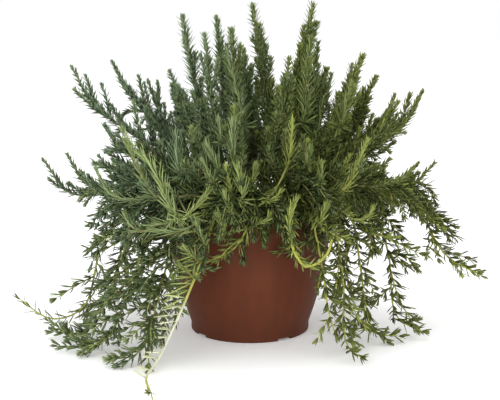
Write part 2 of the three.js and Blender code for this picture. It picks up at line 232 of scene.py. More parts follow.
@dataclass(frozen=True)
class LeafFinish:
    """A leathery needle leaf: dark and domed above, felted and pale in the groove below."""

    old_cool: Colour = (0.066, 0.107, 0.054)
    old_warm: Colour = (0.055, 0.076, 0.015)
    fresh_cool: Colour = (0.265, 0.350, 0.180)
    fresh_warm: Colour = (0.325, 0.375, 0.095)
    # painted glare: the pale colour that strongly backlit young leaves are given
    glare_cream: Colour = (0.700, 0.700, 0.480)
    felt_cool: Colour = (0.215, 0.285, 0.185)
    felt_warm: Colour = (0.192, 0.222, 0.074)
    dry: Colour = (0.140, 0.092, 0.045)
    darkest: Colour = (0.56, 0.58, 0.55)
    lightest: Colour = (1.68, 1.68, 1.68)
    base_range: Span = (0.22, 0.04)
    base_share: float = 0.45
    midrib_range: Span = (0.455, 0.49)
    midrib_share: float = 0.18
    groove_range: Span = (0.12, 0.07)
    groove_share: float = 0.75
    groove_freshness: float = 0.7
    groove_roughness: float = 0.3
    roughness: float = 0.6
    specular: float = 0.11

    def material(self) -> Material:
        """Builds the material.

        Returns:
            The leaf material, which reads the leaf's own map and attributes.
        """
        sheet = Sheet("rosemary_leaf")
        freshness, tone, warmth = sheet.axes(sheet.attribute(GROWTH, "Vector"))
        around, along, _ = sheet.axes(sheet.node("ShaderNodeUVMap", {"uv_map": LEAF_MAP}, {}))
        old = sheet.mix(warmth, self.old_cool, self.old_warm)
        fresh = sheet.mix(warmth, self.fresh_cool, self.fresh_warm)
        # painted glare on the freshest leaves
        fresh = sheet.mix(freshness.within(*PAINTED_GLARE_RANGE), fresh, self.glare_cream)
        felt = sheet.mix(warmth, self.felt_cool, self.felt_warm)
        fresh_felt = sheet.mix(freshness * self.groove_freshness, felt, fresh)
        blade = sheet.mix(freshness, old, fresh)
        blade = sheet.mix(1.0, blade, sheet.mix(tone, self.darkest, self.lightest), "MULTIPLY")
        blade = sheet.mix(along.within(*self.base_range) * self.base_share, blade, felt)
        from_groove = around.folded(0.5)
        blade = sheet.mix(from_groove.within(*self.midrib_range) * self.midrib_share, blade, felt)
        groove = from_groove.within(*self.groove_range)
        blade = sheet.mix(groove * self.groove_share, blade, fresh_felt)
        return sheet.finish(
            Base_Color=sheet.mix(sheet.attribute(DRYNESS, "Fac"), blade, self.dry),
            Roughness=self.roughness + groove * self.groove_roughness,
            Specular_IOR_Level=self.specular,
        )


@dataclass(frozen=True)
class BarkFinish:
    """A thin stem, grey-brown and ridged where it is old and pale yellow-green where it is young."""

    old: Colour = (0.080, 0.074, 0.038)
    old_light: Colour = (0.170, 0.145, 0.085)
    fresh_cool: Colour = (0.270, 0.350, 0.180)
    fresh_warm: Colour = (0.500, 0.520, 0.090)
    # painted glare: the pale colour that strongly backlit young stems are given
    glare_cream: Colour = (0.800, 0.800, 0.600)
    darkest: Colour = (0.75, 0.75, 0.75)
    lightest: Colour = (1.25, 1.25, 1.25)
    ridge_cells: Triple = (900.0, 900.0, 160.0)
    ridge_range: Span = (0.35, 0.65)
    ridge_depth: float = 0.2 * MM
    ridge_strength: float = 0.5
    blotch_cells: float = 160.0
    blotch_range: Span = (0.3, 0.7)
    blotch_share: float = 0.3
    roughness: float = 0.65
    specular: float = 0.2

    def material(self) -> Material:
        """Builds the material.

        Returns:
            The bark material, which reads the stem's own attributes.
        """
        sheet = Sheet("rosemary_bark")
        freshness, tone, warmth = sheet.axes(sheet.attribute(GROWTH, "Vector"))
        ridges = sheet.noise(self.ridge_cells, 3.0).within(*self.ridge_range)
        blotches = sheet.noise(self.blotch_cells, 2.0).within(*self.blotch_range)
        old = sheet.mix(ridges, self.old, self.old_light)
        fresh = sheet.mix(warmth, self.fresh_cool, self.fresh_warm)
        fresh = sheet.mix(blotches * self.blotch_share, fresh, old)
        # painted glare on the freshest bark
        fresh = sheet.mix(freshness.within(*PAINTED_GLARE_RANGE), fresh, self.glare_cream)
        bark = sheet.mix(freshness, old, fresh)
        return sheet.finish(
            Base_Color=sheet.mix(1.0, bark, sheet.mix(tone, self.darkest, self.lightest), "MULTIPLY"),
            Roughness=self.roughness,
            Specular_IOR_Level=self.specular,
            Normal=sheet.bump(ridges, self.ridge_depth, self.ridge_strength),
        )


@dataclass(frozen=True)
class PlasticFinish:
    """Matte clay-coloured plastic, with faint upright streaks, a little dust, and darker towards the foot."""

    clay: Colour = (0.120, 0.0315, 0.0128)
    clay_dark: Colour = (0.085, 0.025, 0.0124)
    clay_light: Colour = (0.148, 0.044, 0.019)
    dust: Colour = (0.160, 0.085, 0.050)
    streak_cells: Triple = (70.0, 70.0, 3.0)
    streak_range: Span = (0.3, 0.7)
    streak_share: float = 0.55
    streak_roughness: float = 0.12
    cloud_cells: float = 18.0
    cloud_range: Span = (0.5, 0.75)
    cloud_share: float = 0.35
    foot_range: Span = (45 * MM, 0.0)
    foot_share: float = 0.45
    grain_cells: float = 900.0
    grain_depth: float = 0.3 * MM
    grain_strength: float = 0.12
    dust_range: Span = (0.62, 0.75)
    dust_share: float = 0.18
    roughness: float = 0.52
    specular: float = 0.12

    def material(self) -> Material:
        """Builds the material.

        Returns:
            The plastic of the pot.
        """
        sheet = Sheet("pot_plastic")
        streaks = sheet.noise(self.streak_cells, 3.0)
        clouds = sheet.noise(self.cloud_cells, 3.0).within(*self.cloud_range)
        grain = sheet.noise(self.grain_cells, 2.0)
        _, _, height = sheet.axes(sheet.place())
        foot = height.within(*self.foot_range)
        plastic = sheet.mix(streaks.within(*self.streak_range) * self.streak_share, self.clay, self.clay_dark)
        plastic = sheet.mix(clouds * self.cloud_share, plastic, self.clay_light)
        plastic = sheet.mix(foot * self.foot_share, plastic, self.clay_dark)
        return sheet.finish(
            Base_Color=sheet.mix(grain.within(*self.dust_range) * self.dust_share, plastic, self.dust),
            Roughness=self.roughness + streaks * self.streak_roughness,
            Specular_IOR_Level=self.specular,
            Normal=sheet.bump(grain, self.grain_depth, self.grain_strength),
        )


@dataclass(frozen=True)
class SoilFinish:
    """Moist potting soil: nearly black crumbs with paler fibres."""

    wet: Colour = (0.020, 0.013, 0.009)
    dry: Colour = (0.075, 0.048, 0.030)
    fibre: Colour = (0.200, 0.130, 0.075)
    crumb_cells: float = 420.0
    crumb_range: Span = (0.4, 0.7)
    crumb_depth: float = 1.2 * MM
    crumb_strength: float = 0.9
    patch_cells: float = 60.0
    patch_range: Span = (0.5, 0.7)
    patch_share: float = 0.5
    fibre_cells: Triple = (900.0, 160.0, 160.0)
    fibre_range: Span = (0.66, 0.74)
    fibre_share: float = 0.7
    roughness: float = 0.92

    def material(self) -> Material:
        """Builds the material.

        Returns:
            The soil.
        """
        sheet = Sheet("potting_soil")
        crumbs = sheet.noise(self.crumb_cells, 3.0)
        patches = sheet.noise(self.patch_cells, 2.0).within(*self.patch_range)
        fibres = sheet.noise(self.fibre_cells, 1.0).within(*self.fibre_range)
        earth = sheet.mix(crumbs.within(*self.crumb_range), self.wet, self.dry)
        earth = sheet.mix(patches * self.patch_share, earth, self.dry)
        return sheet.finish(
            Base_Color=sheet.mix(fibres * self.fibre_share, earth, self.fibre),
            Roughness=self.roughness,
            Normal=sheet.bump(crumbs, self.crumb_depth, self.crumb_strength),
        )


@dataclass(frozen=True)
class FloorFinish:
    """The plain pale floor."""

    paint: Colour = (0.99, 0.99, 0.99)
    roughness: float = 0.9
    glow: float = 0.16

    def material(self) -> Material:
        """Builds the material.

        Returns:
            The floor's plain material, which glows a little, as a light table does.
        """
        sheet = Sheet("pale_floor")
        sheet.shader.inputs["Emission Strength"].default_value = self.glow
        return sheet.finish(Base_Color=self.paint, Roughness=self.roughness, Emission_Color=self.paint)


# Modelling helpers


def clear_selection() -> None:
    """Leaves edit mode and deselects every object."""
    if bpy.context.mode != "OBJECT":
        bpy.ops.object.mode_set(mode="OBJECT")
    bpy.ops.object.select_all(action="DESELECT")


def choose(piece: Piece) -> None:
    """Makes an object the active one, and the only one that is selected.

    Args:
        piece: The object.
    """
    clear_selection()
    bpy.context.view_layer.objects.active = piece
    piece.select_set(True)


def start_editing() -> None:
    """Opens the active object's mesh for editing, and selects all of it."""
    bpy.ops.object.mode_set(mode="EDIT")
    bpy.ops.mesh.select_all(action="SELECT")


def take_added(name: str) -> Piece:
    """Names the shape that was just added, and moves its place, turn and size into its mesh.

    Args:
        name: The name.

    Returns:
        The shape, at the origin.
    """
    piece = bpy.context.active_object
    piece.name = piece.data.name = name
    bpy.ops.object.transform_apply(location=True, rotation=True, scale=True)
    return piece


def apply_modifier(piece: Piece, kind: str, **settings: object) -> None:
    """Gives a piece a modifier and applies it at once.

    Args:
        piece: The piece.
        kind: The modifier's type.
        settings: The modifier's properties.
    """
    choose(piece)
    modifier = piece.modifiers.new(kind, kind)
    for name, value in settings.items():
        setattr(modifier, name, value)
    bpy.ops.object.modifier_apply(modifier=modifier.name)


def cut_out(piece: Piece, cutter: Piece) -> None:
    """Cuts one object out of another, and removes the cutter."""
    apply_modifier(piece, "BOOLEAN", operation="DIFFERENCE", solver="EXACT", object=cutter)
    bpy.data.meshes.remove(cutter.data)


def smooth_faces(piece: Piece, angle: float) -> None:
    """Shades a piece smooth, apart from its edges of more than an angle in degrees."""
    choose(piece)
    bpy.ops.object.shade_smooth_by_angle(angle=math.radians(angle))


def turn_solid(name: str, profile: list[Span], sides: int) -> Piece:
    """Models a closed round solid about the Z axis, ring by ring from the bottom up its outside.

    Args:
        name: The object's name.
        profile: The radius and height of each ring. The first ring and the last are closed with a face.
        sides: How many sides a ring has.

    Returns:
        The solid.
    """
    clear_selection()
    radius, height = profile[0]
    place = (0, 0, height)
    bpy.ops.mesh.primitive_circle_add(vertices=sides, radius=radius, fill_type="NGON", location=place)
    piece = take_added(name)
    start_editing()
    for wider, higher in profile[1:]:
        bpy.ops.mesh.extrude_region_move(TRANSFORM_OT_translate={"value": (0.0, 0.0, higher - height)})
        share = wider / radius
        bpy.ops.transform.resize(value=(share, share, 1.0), center_override=(0.0, 0.0, higher))
        radius, height = wider, higher
    bpy.ops.mesh.select_all(action="SELECT")
    bpy.ops.mesh.normals_make_consistent(inside=False)
    bpy.ops.object.mode_set(mode="OBJECT")
    return piece


# Shapes that are modelled once and copied


@dataclass
class Pattern:
    """The triangles of a shape that is copied many times. Its length runs along Z from 0 to 1."""

    places: Array
    corners: Array
    leaf_map: Array
    cell_map: Array


def read_pattern(piece: Piece) -> Pattern:
    """Reads a modelled shape as triangles, and removes it.

    Args:
        piece: The shape, with its leaf map.

    Returns:
        The shape's pattern. Its cell map is the leaf map, drawn into one cell of the bake's map.
    """
    choose(piece)
    start_editing()
    bpy.ops.mesh.quads_convert_to_tris()
    bpy.ops.object.mode_set(mode="OBJECT")
    mesh = piece.data
    places = np.empty(len(mesh.vertices) * 3)
    mesh.vertices.foreach_get("co", places)
    corners = np.empty(len(mesh.loops), int)
    mesh.loops.foreach_get("vertex_index", corners)
    leaf_map = np.empty(len(mesh.loops) * 2)
    mesh.uv_layers[LEAF_MAP].uv.foreach_get("vector", leaf_map)
    leaf_map = leaf_map.reshape(-1, 3, 2)
    low, high = leaf_map.min((0, 1)), leaf_map.max((0, 1))
    cell_map = (leaf_map - low) / (high - low)
    bpy.data.meshes.remove(mesh)
    return Pattern(places.reshape(-1, 3), corners.reshape(-1, 3), leaf_map, cell_map)


@dataclass
class Blade:
    """A needle leaf, modelled once at unit length: a prism that is cut into rings, pointed and bent.

    Its length is along Z, its width along X, and its upper side faces +Y. Flat faces are small on its map.
    """

    name: str
    sides: int
    cuts: Numbers
    widths: Numbers
    bend: float = 0.0
    flat_share: float = 0.08
    flat_scale: float = 0.6
    flat_from: float = 0.99
    tolerance: float = 1e-4

    @classmethod
    def rod(cls, name: str, sides: int, rings: int) -> Pattern:
        """A straight stem of unit length and width, which is cut evenly into rings and closed at its tip."""
        cuts = tuple((i + 1) / (rings + 1) for i in range(rings))
        return cls(name, sides, cuts, (1.0,) * rings + (0.9,)).model()

    def model(self) -> Pattern:
        """Models the leaf by cutting, scaling, merging and bending a cylinder.

        Returns:
            The leaf's pattern.
        """
        clear_selection()
        bpy.ops.mesh.primitive_cylinder_add(vertices=self.sides, radius=0.5, depth=1.0, location=(0, 0, 0.5))
        piece = take_added(self.name)
        bpy.ops.object.mode_set(mode="EDIT")
        for cut in self.cuts:
            bpy.ops.mesh.select_all(action="SELECT")
            bpy.ops.mesh.bisect(plane_co=(0, 0, cut), plane_no=(0, 0, 1))
        for height, width in zip((0.0, *self.cuts), self.widths):
            self.pick_ring(piece, height)
            bpy.ops.transform.resize(value=(width, width, 1.0), center_override=(0, 0, height))
        self.pick_ring(piece, 1.0)
        bpy.ops.mesh.merge(type="CENTER")
        bpy.ops.object.mode_set(mode="OBJECT")
        self.unwrap(piece)
        if self.bend:
            angle = math.radians(self.bend)
            apply_modifier(piece, "SIMPLE_DEFORM", deform_method="BEND", deform_axis="X", angle=angle)
        return read_pattern(piece)

    def pick_ring(self, piece: Piece, height: float) -> None:
        """Selects the vertices at a height of the shape, which is in edit mode.

        Args:
            piece: The shape.
            height: The height.
        """
        bpy.ops.mesh.select_mode(type="VERT")
        bpy.ops.mesh.select_all(action="DESELECT")
        edited = bmesh.from_edit_mesh(piece.data)
        for vertex in edited.verts:
            vertex.select = abs(vertex.co.z - height) < self.tolerance
        edited.select_flush_mode()
        bmesh.update_edit_mesh(piece.data)

    def unwrap(self, piece: Piece) -> None:
        """Draws the leaf's own map: the turn around the leaf from its groove, and the share of its length.

        Args:
            piece: The straight leaf.
        """
        mesh = piece.data
        layer = mesh.uv_layers.new(name=LEAF_MAP)
        for face in mesh.polygons:
            flat = abs(face.normal.z) > self.flat_from
            middle = self.turn(face.center.x, face.center.y)
            for loop, number in zip(face.loop_indices, face.vertices):
                corner = mesh.vertices[number].co
                if flat:
                    around = 0.5 + corner.x * self.flat_scale
                    along = self.flat_share * (0.4 + corner.y * self.flat_scale)
                else:
                    around = self.turn(corner.x, corner.y)
                    around += round(middle - around)
                    along = self.flat_share + (1.0 - self.flat_share) * corner.z
                    if math.hypot(corner.x, corner.y) < self.tolerance:
                        around = middle
                layer.uv[loop].vector = (around, along)

    @staticmethod
    def turn(x: float, y: float) -> float:
        """The turn of a point around the leaf, from just over 0 at its groove to just over 1."""
        share = math.atan2(x, -y) / math.tau % 1.0
        return share if share > 1e-3 else 1.0


# Paths


def unit(vectors: Array) -> Array:
    """Vectors, each divided by its length. Their last axis is X, Y and Z."""
    return vectors / np.maximum(np.linalg.norm(vectors, axis=-1, keepdims=True), 1e-9)


def smooth_path(points: Array, steps: int = 24) -> Array:
    """The centripetal curve through some points, as the CAD's stems follow.

    Args:
        points: The points that the curve passes through.
        steps: How many steps each part of the curve has.

    Returns:
        Points along the curve.
    """
    ends = np.vstack([2 * points[0] - points[1], points, 2 * points[-1] - points[-2]])
    share = np.linspace(0, 1, steps, endpoint=False)[:, None]
    path = []
    for before, start, stop, after in zip(ends, ends[1:], ends[2:], ends[3:]):
        first, gap, last = (
            max(float(((b - a) ** 2).sum()) ** 0.25, 1e-6)
            for a, b in ((before, start), (start, stop), (stop, after))
        )
        leaving = ((start - before) / first - (stop - before) / (first + gap) + (stop - start) / gap) * gap
        coming = ((stop - start) / gap - (after - start) / (gap + last) + (after - stop) / last) * gap
        cube, square = share**3, share**2
        path.append(
            (2 * cube - 3 * square + 1) * start
            + (cube - 2 * square + share) * leaving
            + (3 * square - 2 * cube) * stop
            + (cube - square) * coming
        )
    return np.vstack([*path, points[-1:]])


class Course:
    """A path with a frame that is carried along it without twist."""

    def __init__(self, path: Array, count: int) -> None:
        """Spaces the path evenly and carries the frame along it.

        Args:
            path: Points along the path.
            count: How many even steps it is given.
        """
        lengths = np.linalg.norm(np.diff(path, axis=0), axis=1)
        reach = np.concatenate([[0.0], np.cumsum(lengths)])
        self.length = float(reach[-1])
        self.marks = np.linspace(0.0, self.length, count)
        self.places = np.stack([np.interp(self.marks, reach, axis) for axis in path.T], 1)
        self.tangents = unit(np.gradient(self.places, axis=0))
        reference = UP if abs(self.tangents[0, 2]) < 0.8 else np.array([0.0, 1.0, 0.0])
        normal = np.cross(self.tangents[0], reference)
        normals = []
        for tangent in self.tangents:
            normal = unit(normal - tangent * (normal @ tangent))
            normals.append(normal)
        self.normals = np.array(normals)

    def read(self, values: Array, marks: Array) -> Array:
        """Values of the path, read between its steps."""
        return np.stack([np.interp(marks, self.marks, axis) for axis in values.T], 1)

    def at(self, marks: Array) -> tuple[Array, Array, Array, Array]:
        """The place and the frame at some distances along the path.

        Args:
            marks: Distances from the start, in metres.

        Returns:
            The places, and the tangent, normal and binormal there.
        """
        tangents = unit(self.read(self.tangents, marks))
        normals = self.read(self.normals, marks)
        normals = unit(normals - tangents * (normals * tangents).sum(1, keepdims=True))
        return self.read(self.places, marks), tangents, normals, np.cross(tangents, normals)


def turned_about(turns: Array, normals: Array, binormals: Array) -> Array:
    """The directions at some turns about a path, in radians from its normals towards its binormals."""
    return np.cos(turns)[:, None] * normals + np.sin(turns)[:, None] * binormals


# The pot and the soil


@dataclass
class Pot:
    """The round plastic pot: an upright foot band, a belly, a small lip, drain channels and drain holes.

    The places of its channels are in degrees around the pot.
    """

    node: str = "pot"
    height: float = 155 * MM
    wall_radius: float = 99 * MM
    lip_radius: float = 102 * MM
    lip_height: float = 9 * MM
    lip_rounding: float = 1.5 * MM
    foot_radius: float = 72.5 * MM
    foot_band: float = 10 * MM
    foot_rounding: float = 2 * MM
    wall: float = 3 * MM
    floor_top: float = 6.5 * MM
    middle_ring: float = 20 * MM
    channel_turns: Numbers = (-55, 35, 125, 215)
    channel_width: float = 20 * MM
    channel_depth: float = 3 * MM
    channel_start: float = 38 * MM
    channel_past: float = 10 * MM
    channel_rounding: float = 0.8 * MM
    drain_radius: float = 4.5 * MM
    drain_place: float = 54 * MM
    drain_sides: int = 32
    sides: int = 128
    wall_rings: int = 14
    rounding_rings: int = 4
    sharp_angle: float = 40
    finish: PlasticFinish = field(default_factory=PlasticFinish)

    def wall_at(self, height: float | Array) -> float | Array:
        """The outside radius of the wall at one height or several."""
        share = np.clip((height - self.foot_band) / (self.height - self.foot_band), 0.0, 1.0)
        return self.wall_radius - (self.wall_radius - self.foot_radius) * (1 - share) ** 2

    def side(self, start: float, stop: float, count: int, inset: float = 0.0) -> list[Span]:
        """Rings that follow the wall, between two heights and further in than its outside."""
        return [(float(self.wall_at(z)) - inset, float(z)) for z in np.linspace(start, stop, count)]

    def rounding(self, radius: float, height: float, size: float, start: float) -> list[Span]:
        """The rings of a rounded edge: a quarter turn about its middle, from a start in degrees."""
        angles = [math.radians(start + 90 * i / self.rounding_rings) for i in range(self.rounding_rings + 1)]
        return [(radius + size * math.cos(a), height + size * math.sin(a)) for a in angles]

    def profile(self) -> list[Span]:
        """The rings of the pot, from the middle of its underside up its outside and down its inside.

        Returns:
            The radius and height of each ring.
        """
        foot, size = self.foot_rounding, self.lip_rounding
        lip_bottom, lip_middle = self.height - self.lip_height, self.height - size
        inside = self.side(lip_middle, self.foot_band, self.wall_rings, self.wall)
        return [
            (self.middle_ring, 0.0),
            *self.rounding(self.foot_radius - foot, foot, foot, -90),
            *self.side(self.foot_band, lip_bottom, self.wall_rings),
            (self.lip_radius - size * 0.4, lip_bottom + size * 0.1),
            (self.lip_radius, lip_bottom + size),
            *self.rounding(self.lip_radius - size, lip_middle, size, 0),
            *self.rounding(inside[0][0] + size, lip_middle, size, 90),
            *inside[1:],
            (self.foot_radius - self.wall - foot, self.floor_top),
            (self.middle_ring, self.floor_top),
        ]

    def cut_channel(self, piece: Piece, turn: float) -> None:
        """Cuts one channel and its drain hole.

        Args:
            piece: The pot.
            turn: The channel's place in degrees.
        """
        angle = math.radians(turn - 90)
        across, along = math.cos(angle), math.sin(angle)
        length = self.foot_radius + self.channel_past - self.channel_start
        middle = self.channel_start + length / 2
        clear_selection()
        place = (middle * across, middle * along, 0.0)
        size = (length, self.channel_width, 2 * self.channel_depth)
        bpy.ops.mesh.primitive_cube_add(size=1.0, location=place, rotation=(0, 0, angle), scale=size)
        box = take_added("channel")
        start_editing()
        bpy.ops.mesh.bevel(offset=self.channel_rounding, segments=3)
        cut_out(piece, box)
        clear_selection()
        place = (self.drain_place * across, self.drain_place * along, 0.0)
        shape = {"vertices": self.drain_sides, "radius": self.drain_radius, "depth": 4 * self.floor_top}
        bpy.ops.mesh.primitive_cylinder_add(location=place, **shape)
        cut_out(piece, take_added("drain"))

    def build(self) -> Piece:
        """Models the pot and gives it its finish.

        Returns:
            The finished piece.
        """
        piece = turn_solid("pot_fine", self.profile(), self.sides)
        for turn in self.channel_turns:
            self.cut_channel(piece, turn)
        smooth_faces(piece, self.sharp_angle)
        piece.data.materials.append(self.finish.material())
        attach(piece, "root")
        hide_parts(self.node)
        return piece


@dataclass
class Soil:
    """The soil that fills the pot: a mound with crumbs on it and a hole for each stem.

    It keeps a gap from the pot, and the lumps and crumbs stay a little inside its edge.
    """

    pot: Pot
    node: str = "soil"
    top: float = 140 * MM
    mound: float = 4 * MM
    gap: float = 0.3 * MM
    wall_gap: float = 0.6 * MM
    hole_radius: float = 2.9 * MM
    hole_depth: float = 14 * MM
    hole_sides: int = 12
    sides: int = 96
    side_rings: int = 8
    top_rings: int = 14
    last_ring: float = 3 * MM
    lump_width: float = 9 * MM
    lump_height: float = 5 * MM
    lump_inset: float = 2 * MM
    crumbs: int = 420
    crumb_size: Span = (1.2 * MM, 4.5 * MM)
    crumb_shape: Triple = (1.0, 0.8, 0.6)
    crumb_stretch: Span = (0.7, 1.3)
    crumb_inset: float = 5 * MM
    sharp_angle: float = 50
    seed: int = 7
    finish: SoilFinish = field(default_factory=SoilFinish)

    def edge(self, inset: float) -> float:
        """The radius of the soil's top, so far inside the pot's wall."""
        return float(self.pot.wall_at(self.top)) - self.pot.wall - inset

    def height_at(self, radius: float | Array) -> float | Array:
        """The height of the soil's surface at one distance from the pot's axis or several."""
        share = np.minimum(1.0, radius / self.edge(self.wall_gap))
        return self.top + self.mound * (1 - share**2)

    def profile(self) -> list[Span]:
        """The rings of the soil, from the middle of its underside to near the middle of its top.

        Returns:
            The radius and height of each ring.
        """
        inset = self.pot.wall + self.wall_gap
        bottom = self.pot.floor_top + self.gap
        sides = self.pot.side(self.pot.foot_band, self.top, self.side_rings, inset)
        radii = np.linspace(sides[-1][0], self.last_ring, self.top_rings)[1:]
        return [
            (self.pot.middle_ring, bottom),
            (self.pot.foot_radius - inset - self.pot.foot_rounding, bottom),
            *sides,
            *((float(r), float(self.height_at(r))) for r in radii),
        ]

    def roughen(self, piece: Piece) -> None:
        """Makes the top uneven.

        Args:
            piece: The soil.
        """
        group = piece.vertex_groups.new(name="top")
        edge = self.edge(self.lump_inset)
        for vertex in piece.data.vertices:
            if vertex.co.z > self.top + 0.1 * MM and math.hypot(vertex.co.x, vertex.co.y) < edge:
                group.add([vertex.index], 1.0, "REPLACE")
        texture = bpy.data.textures.new("soil_lumps", "CLOUDS")
        texture.noise_scale = self.lump_width
        texture.noise_depth = 3
        lumps = {"texture": texture, "texture_coords": "LOCAL", "vertex_group": group.name, "direction": "Z"}
        apply_modifier(piece, "DISPLACE", mid_level=0.5, strength=self.lump_height, **lumps)

    def crumb_pattern(self) -> Pattern:
        """Models one crumb, an uneven lump, once.

        Returns:
            The crumb's pattern.
        """
        clear_selection()
        bpy.ops.mesh.primitive_ico_sphere_add(subdivisions=1, radius=0.5, location=(0, 0, 0))
        piece = take_added("crumb")
        start_editing()
        bpy.ops.transform.vertex_random(offset=0.12, seed=self.seed)
        bpy.ops.transform.resize(value=self.crumb_shape, center_override=(0, 0, 0))
        bpy.ops.object.mode_set(mode="OBJECT")
        piece.data.uv_layers[0].name = LEAF_MAP
        return read_pattern(piece)

    def stem_holes(self, feet: list[Span]) -> Piece:
        """Models the closed shape that cuts the stems' holes.

        Args:
            feet: Where the stems stand.

        Returns:
            One object with a cylinder for each stem.
        """
        made = []
        shape = {"vertices": self.hole_sides, "radius": self.hole_radius, "depth": 2 * self.hole_depth}
        for x, y in feet:
            place = (x, y, float(self.height_at(math.hypot(x, y))))
            bpy.ops.mesh.primitive_cylinder_add(location=place, **shape)
            made.append(bpy.context.active_object)
        for hole in made:
            hole.select_set(True)
        bpy.ops.object.join()
        return take_added("stem_holes")

    def crumb_heap(self) -> Piece:
        """Scatters crumbs over the soil's top.

        Returns:
            One object with all of them.
        """
        rng, count = np.random.default_rng(self.seed), self.crumbs
        heap, crumb = Foliage(), self.crumb_pattern()
        radii = self.edge(self.crumb_inset) * np.sqrt(rng.uniform(0, 1, count))
        turns = rng.uniform(0, math.tau, count)
        sizes = rng.uniform(*self.crumb_size, count) * rng.uniform(0.5, 1, count)
        heights = self.height_at(radii) + 0.1 * sizes
        places = np.stack([radii * np.cos(turns), radii * np.sin(turns), heights], 1)
        spin = rng.uniform(0, math.tau, count)
        frames = np.zeros((count, 3, 3))
        frames[:, 0, 0] = frames[:, 1, 1] = np.cos(spin)
        frames[:, 0, 1], frames[:, 1, 0] = np.sin(spin), -np.sin(spin)
        frames[:, 2, 2] = 1.0
        stretched = sizes[:, None] * rng.uniform(*self.crumb_stretch, (count, 3))
        heap.stamp(crumb, places, frames, stretched, np.full((count, 3), 0.5), np.zeros(count))
        return heap.to_object("soil_crumbs")

    def build(self, feet: list[Span]) -> Piece:
        """Models the soil and gives it its finish.

        Args:
            feet: Where the stems stand in it.

        Returns:
            The finished piece.
        """
        piece = turn_solid("soil_fine", self.profile(), self.sides)
        self.roughen(piece)
        cut_out(piece, self.stem_holes(feet))
        heap = self.crumb_heap()
        choose(piece)
        heap.select_set(True)
        bpy.ops.object.join()
        while piece.data.uv_layers:
            piece.data.uv_layers.remove(piece.data.uv_layers[0])
        smooth_faces(piece, self.sharp_angle)
        piece.data.materials.clear()
        piece.data.materials.append(self.finish.material())
        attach(piece, "root")
        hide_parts(self.node)
        return piece


# Leafy stems


class Layer(Enum):
    """The two materials of a leafy stem."""

    LEAF = 0
    BARK = 1


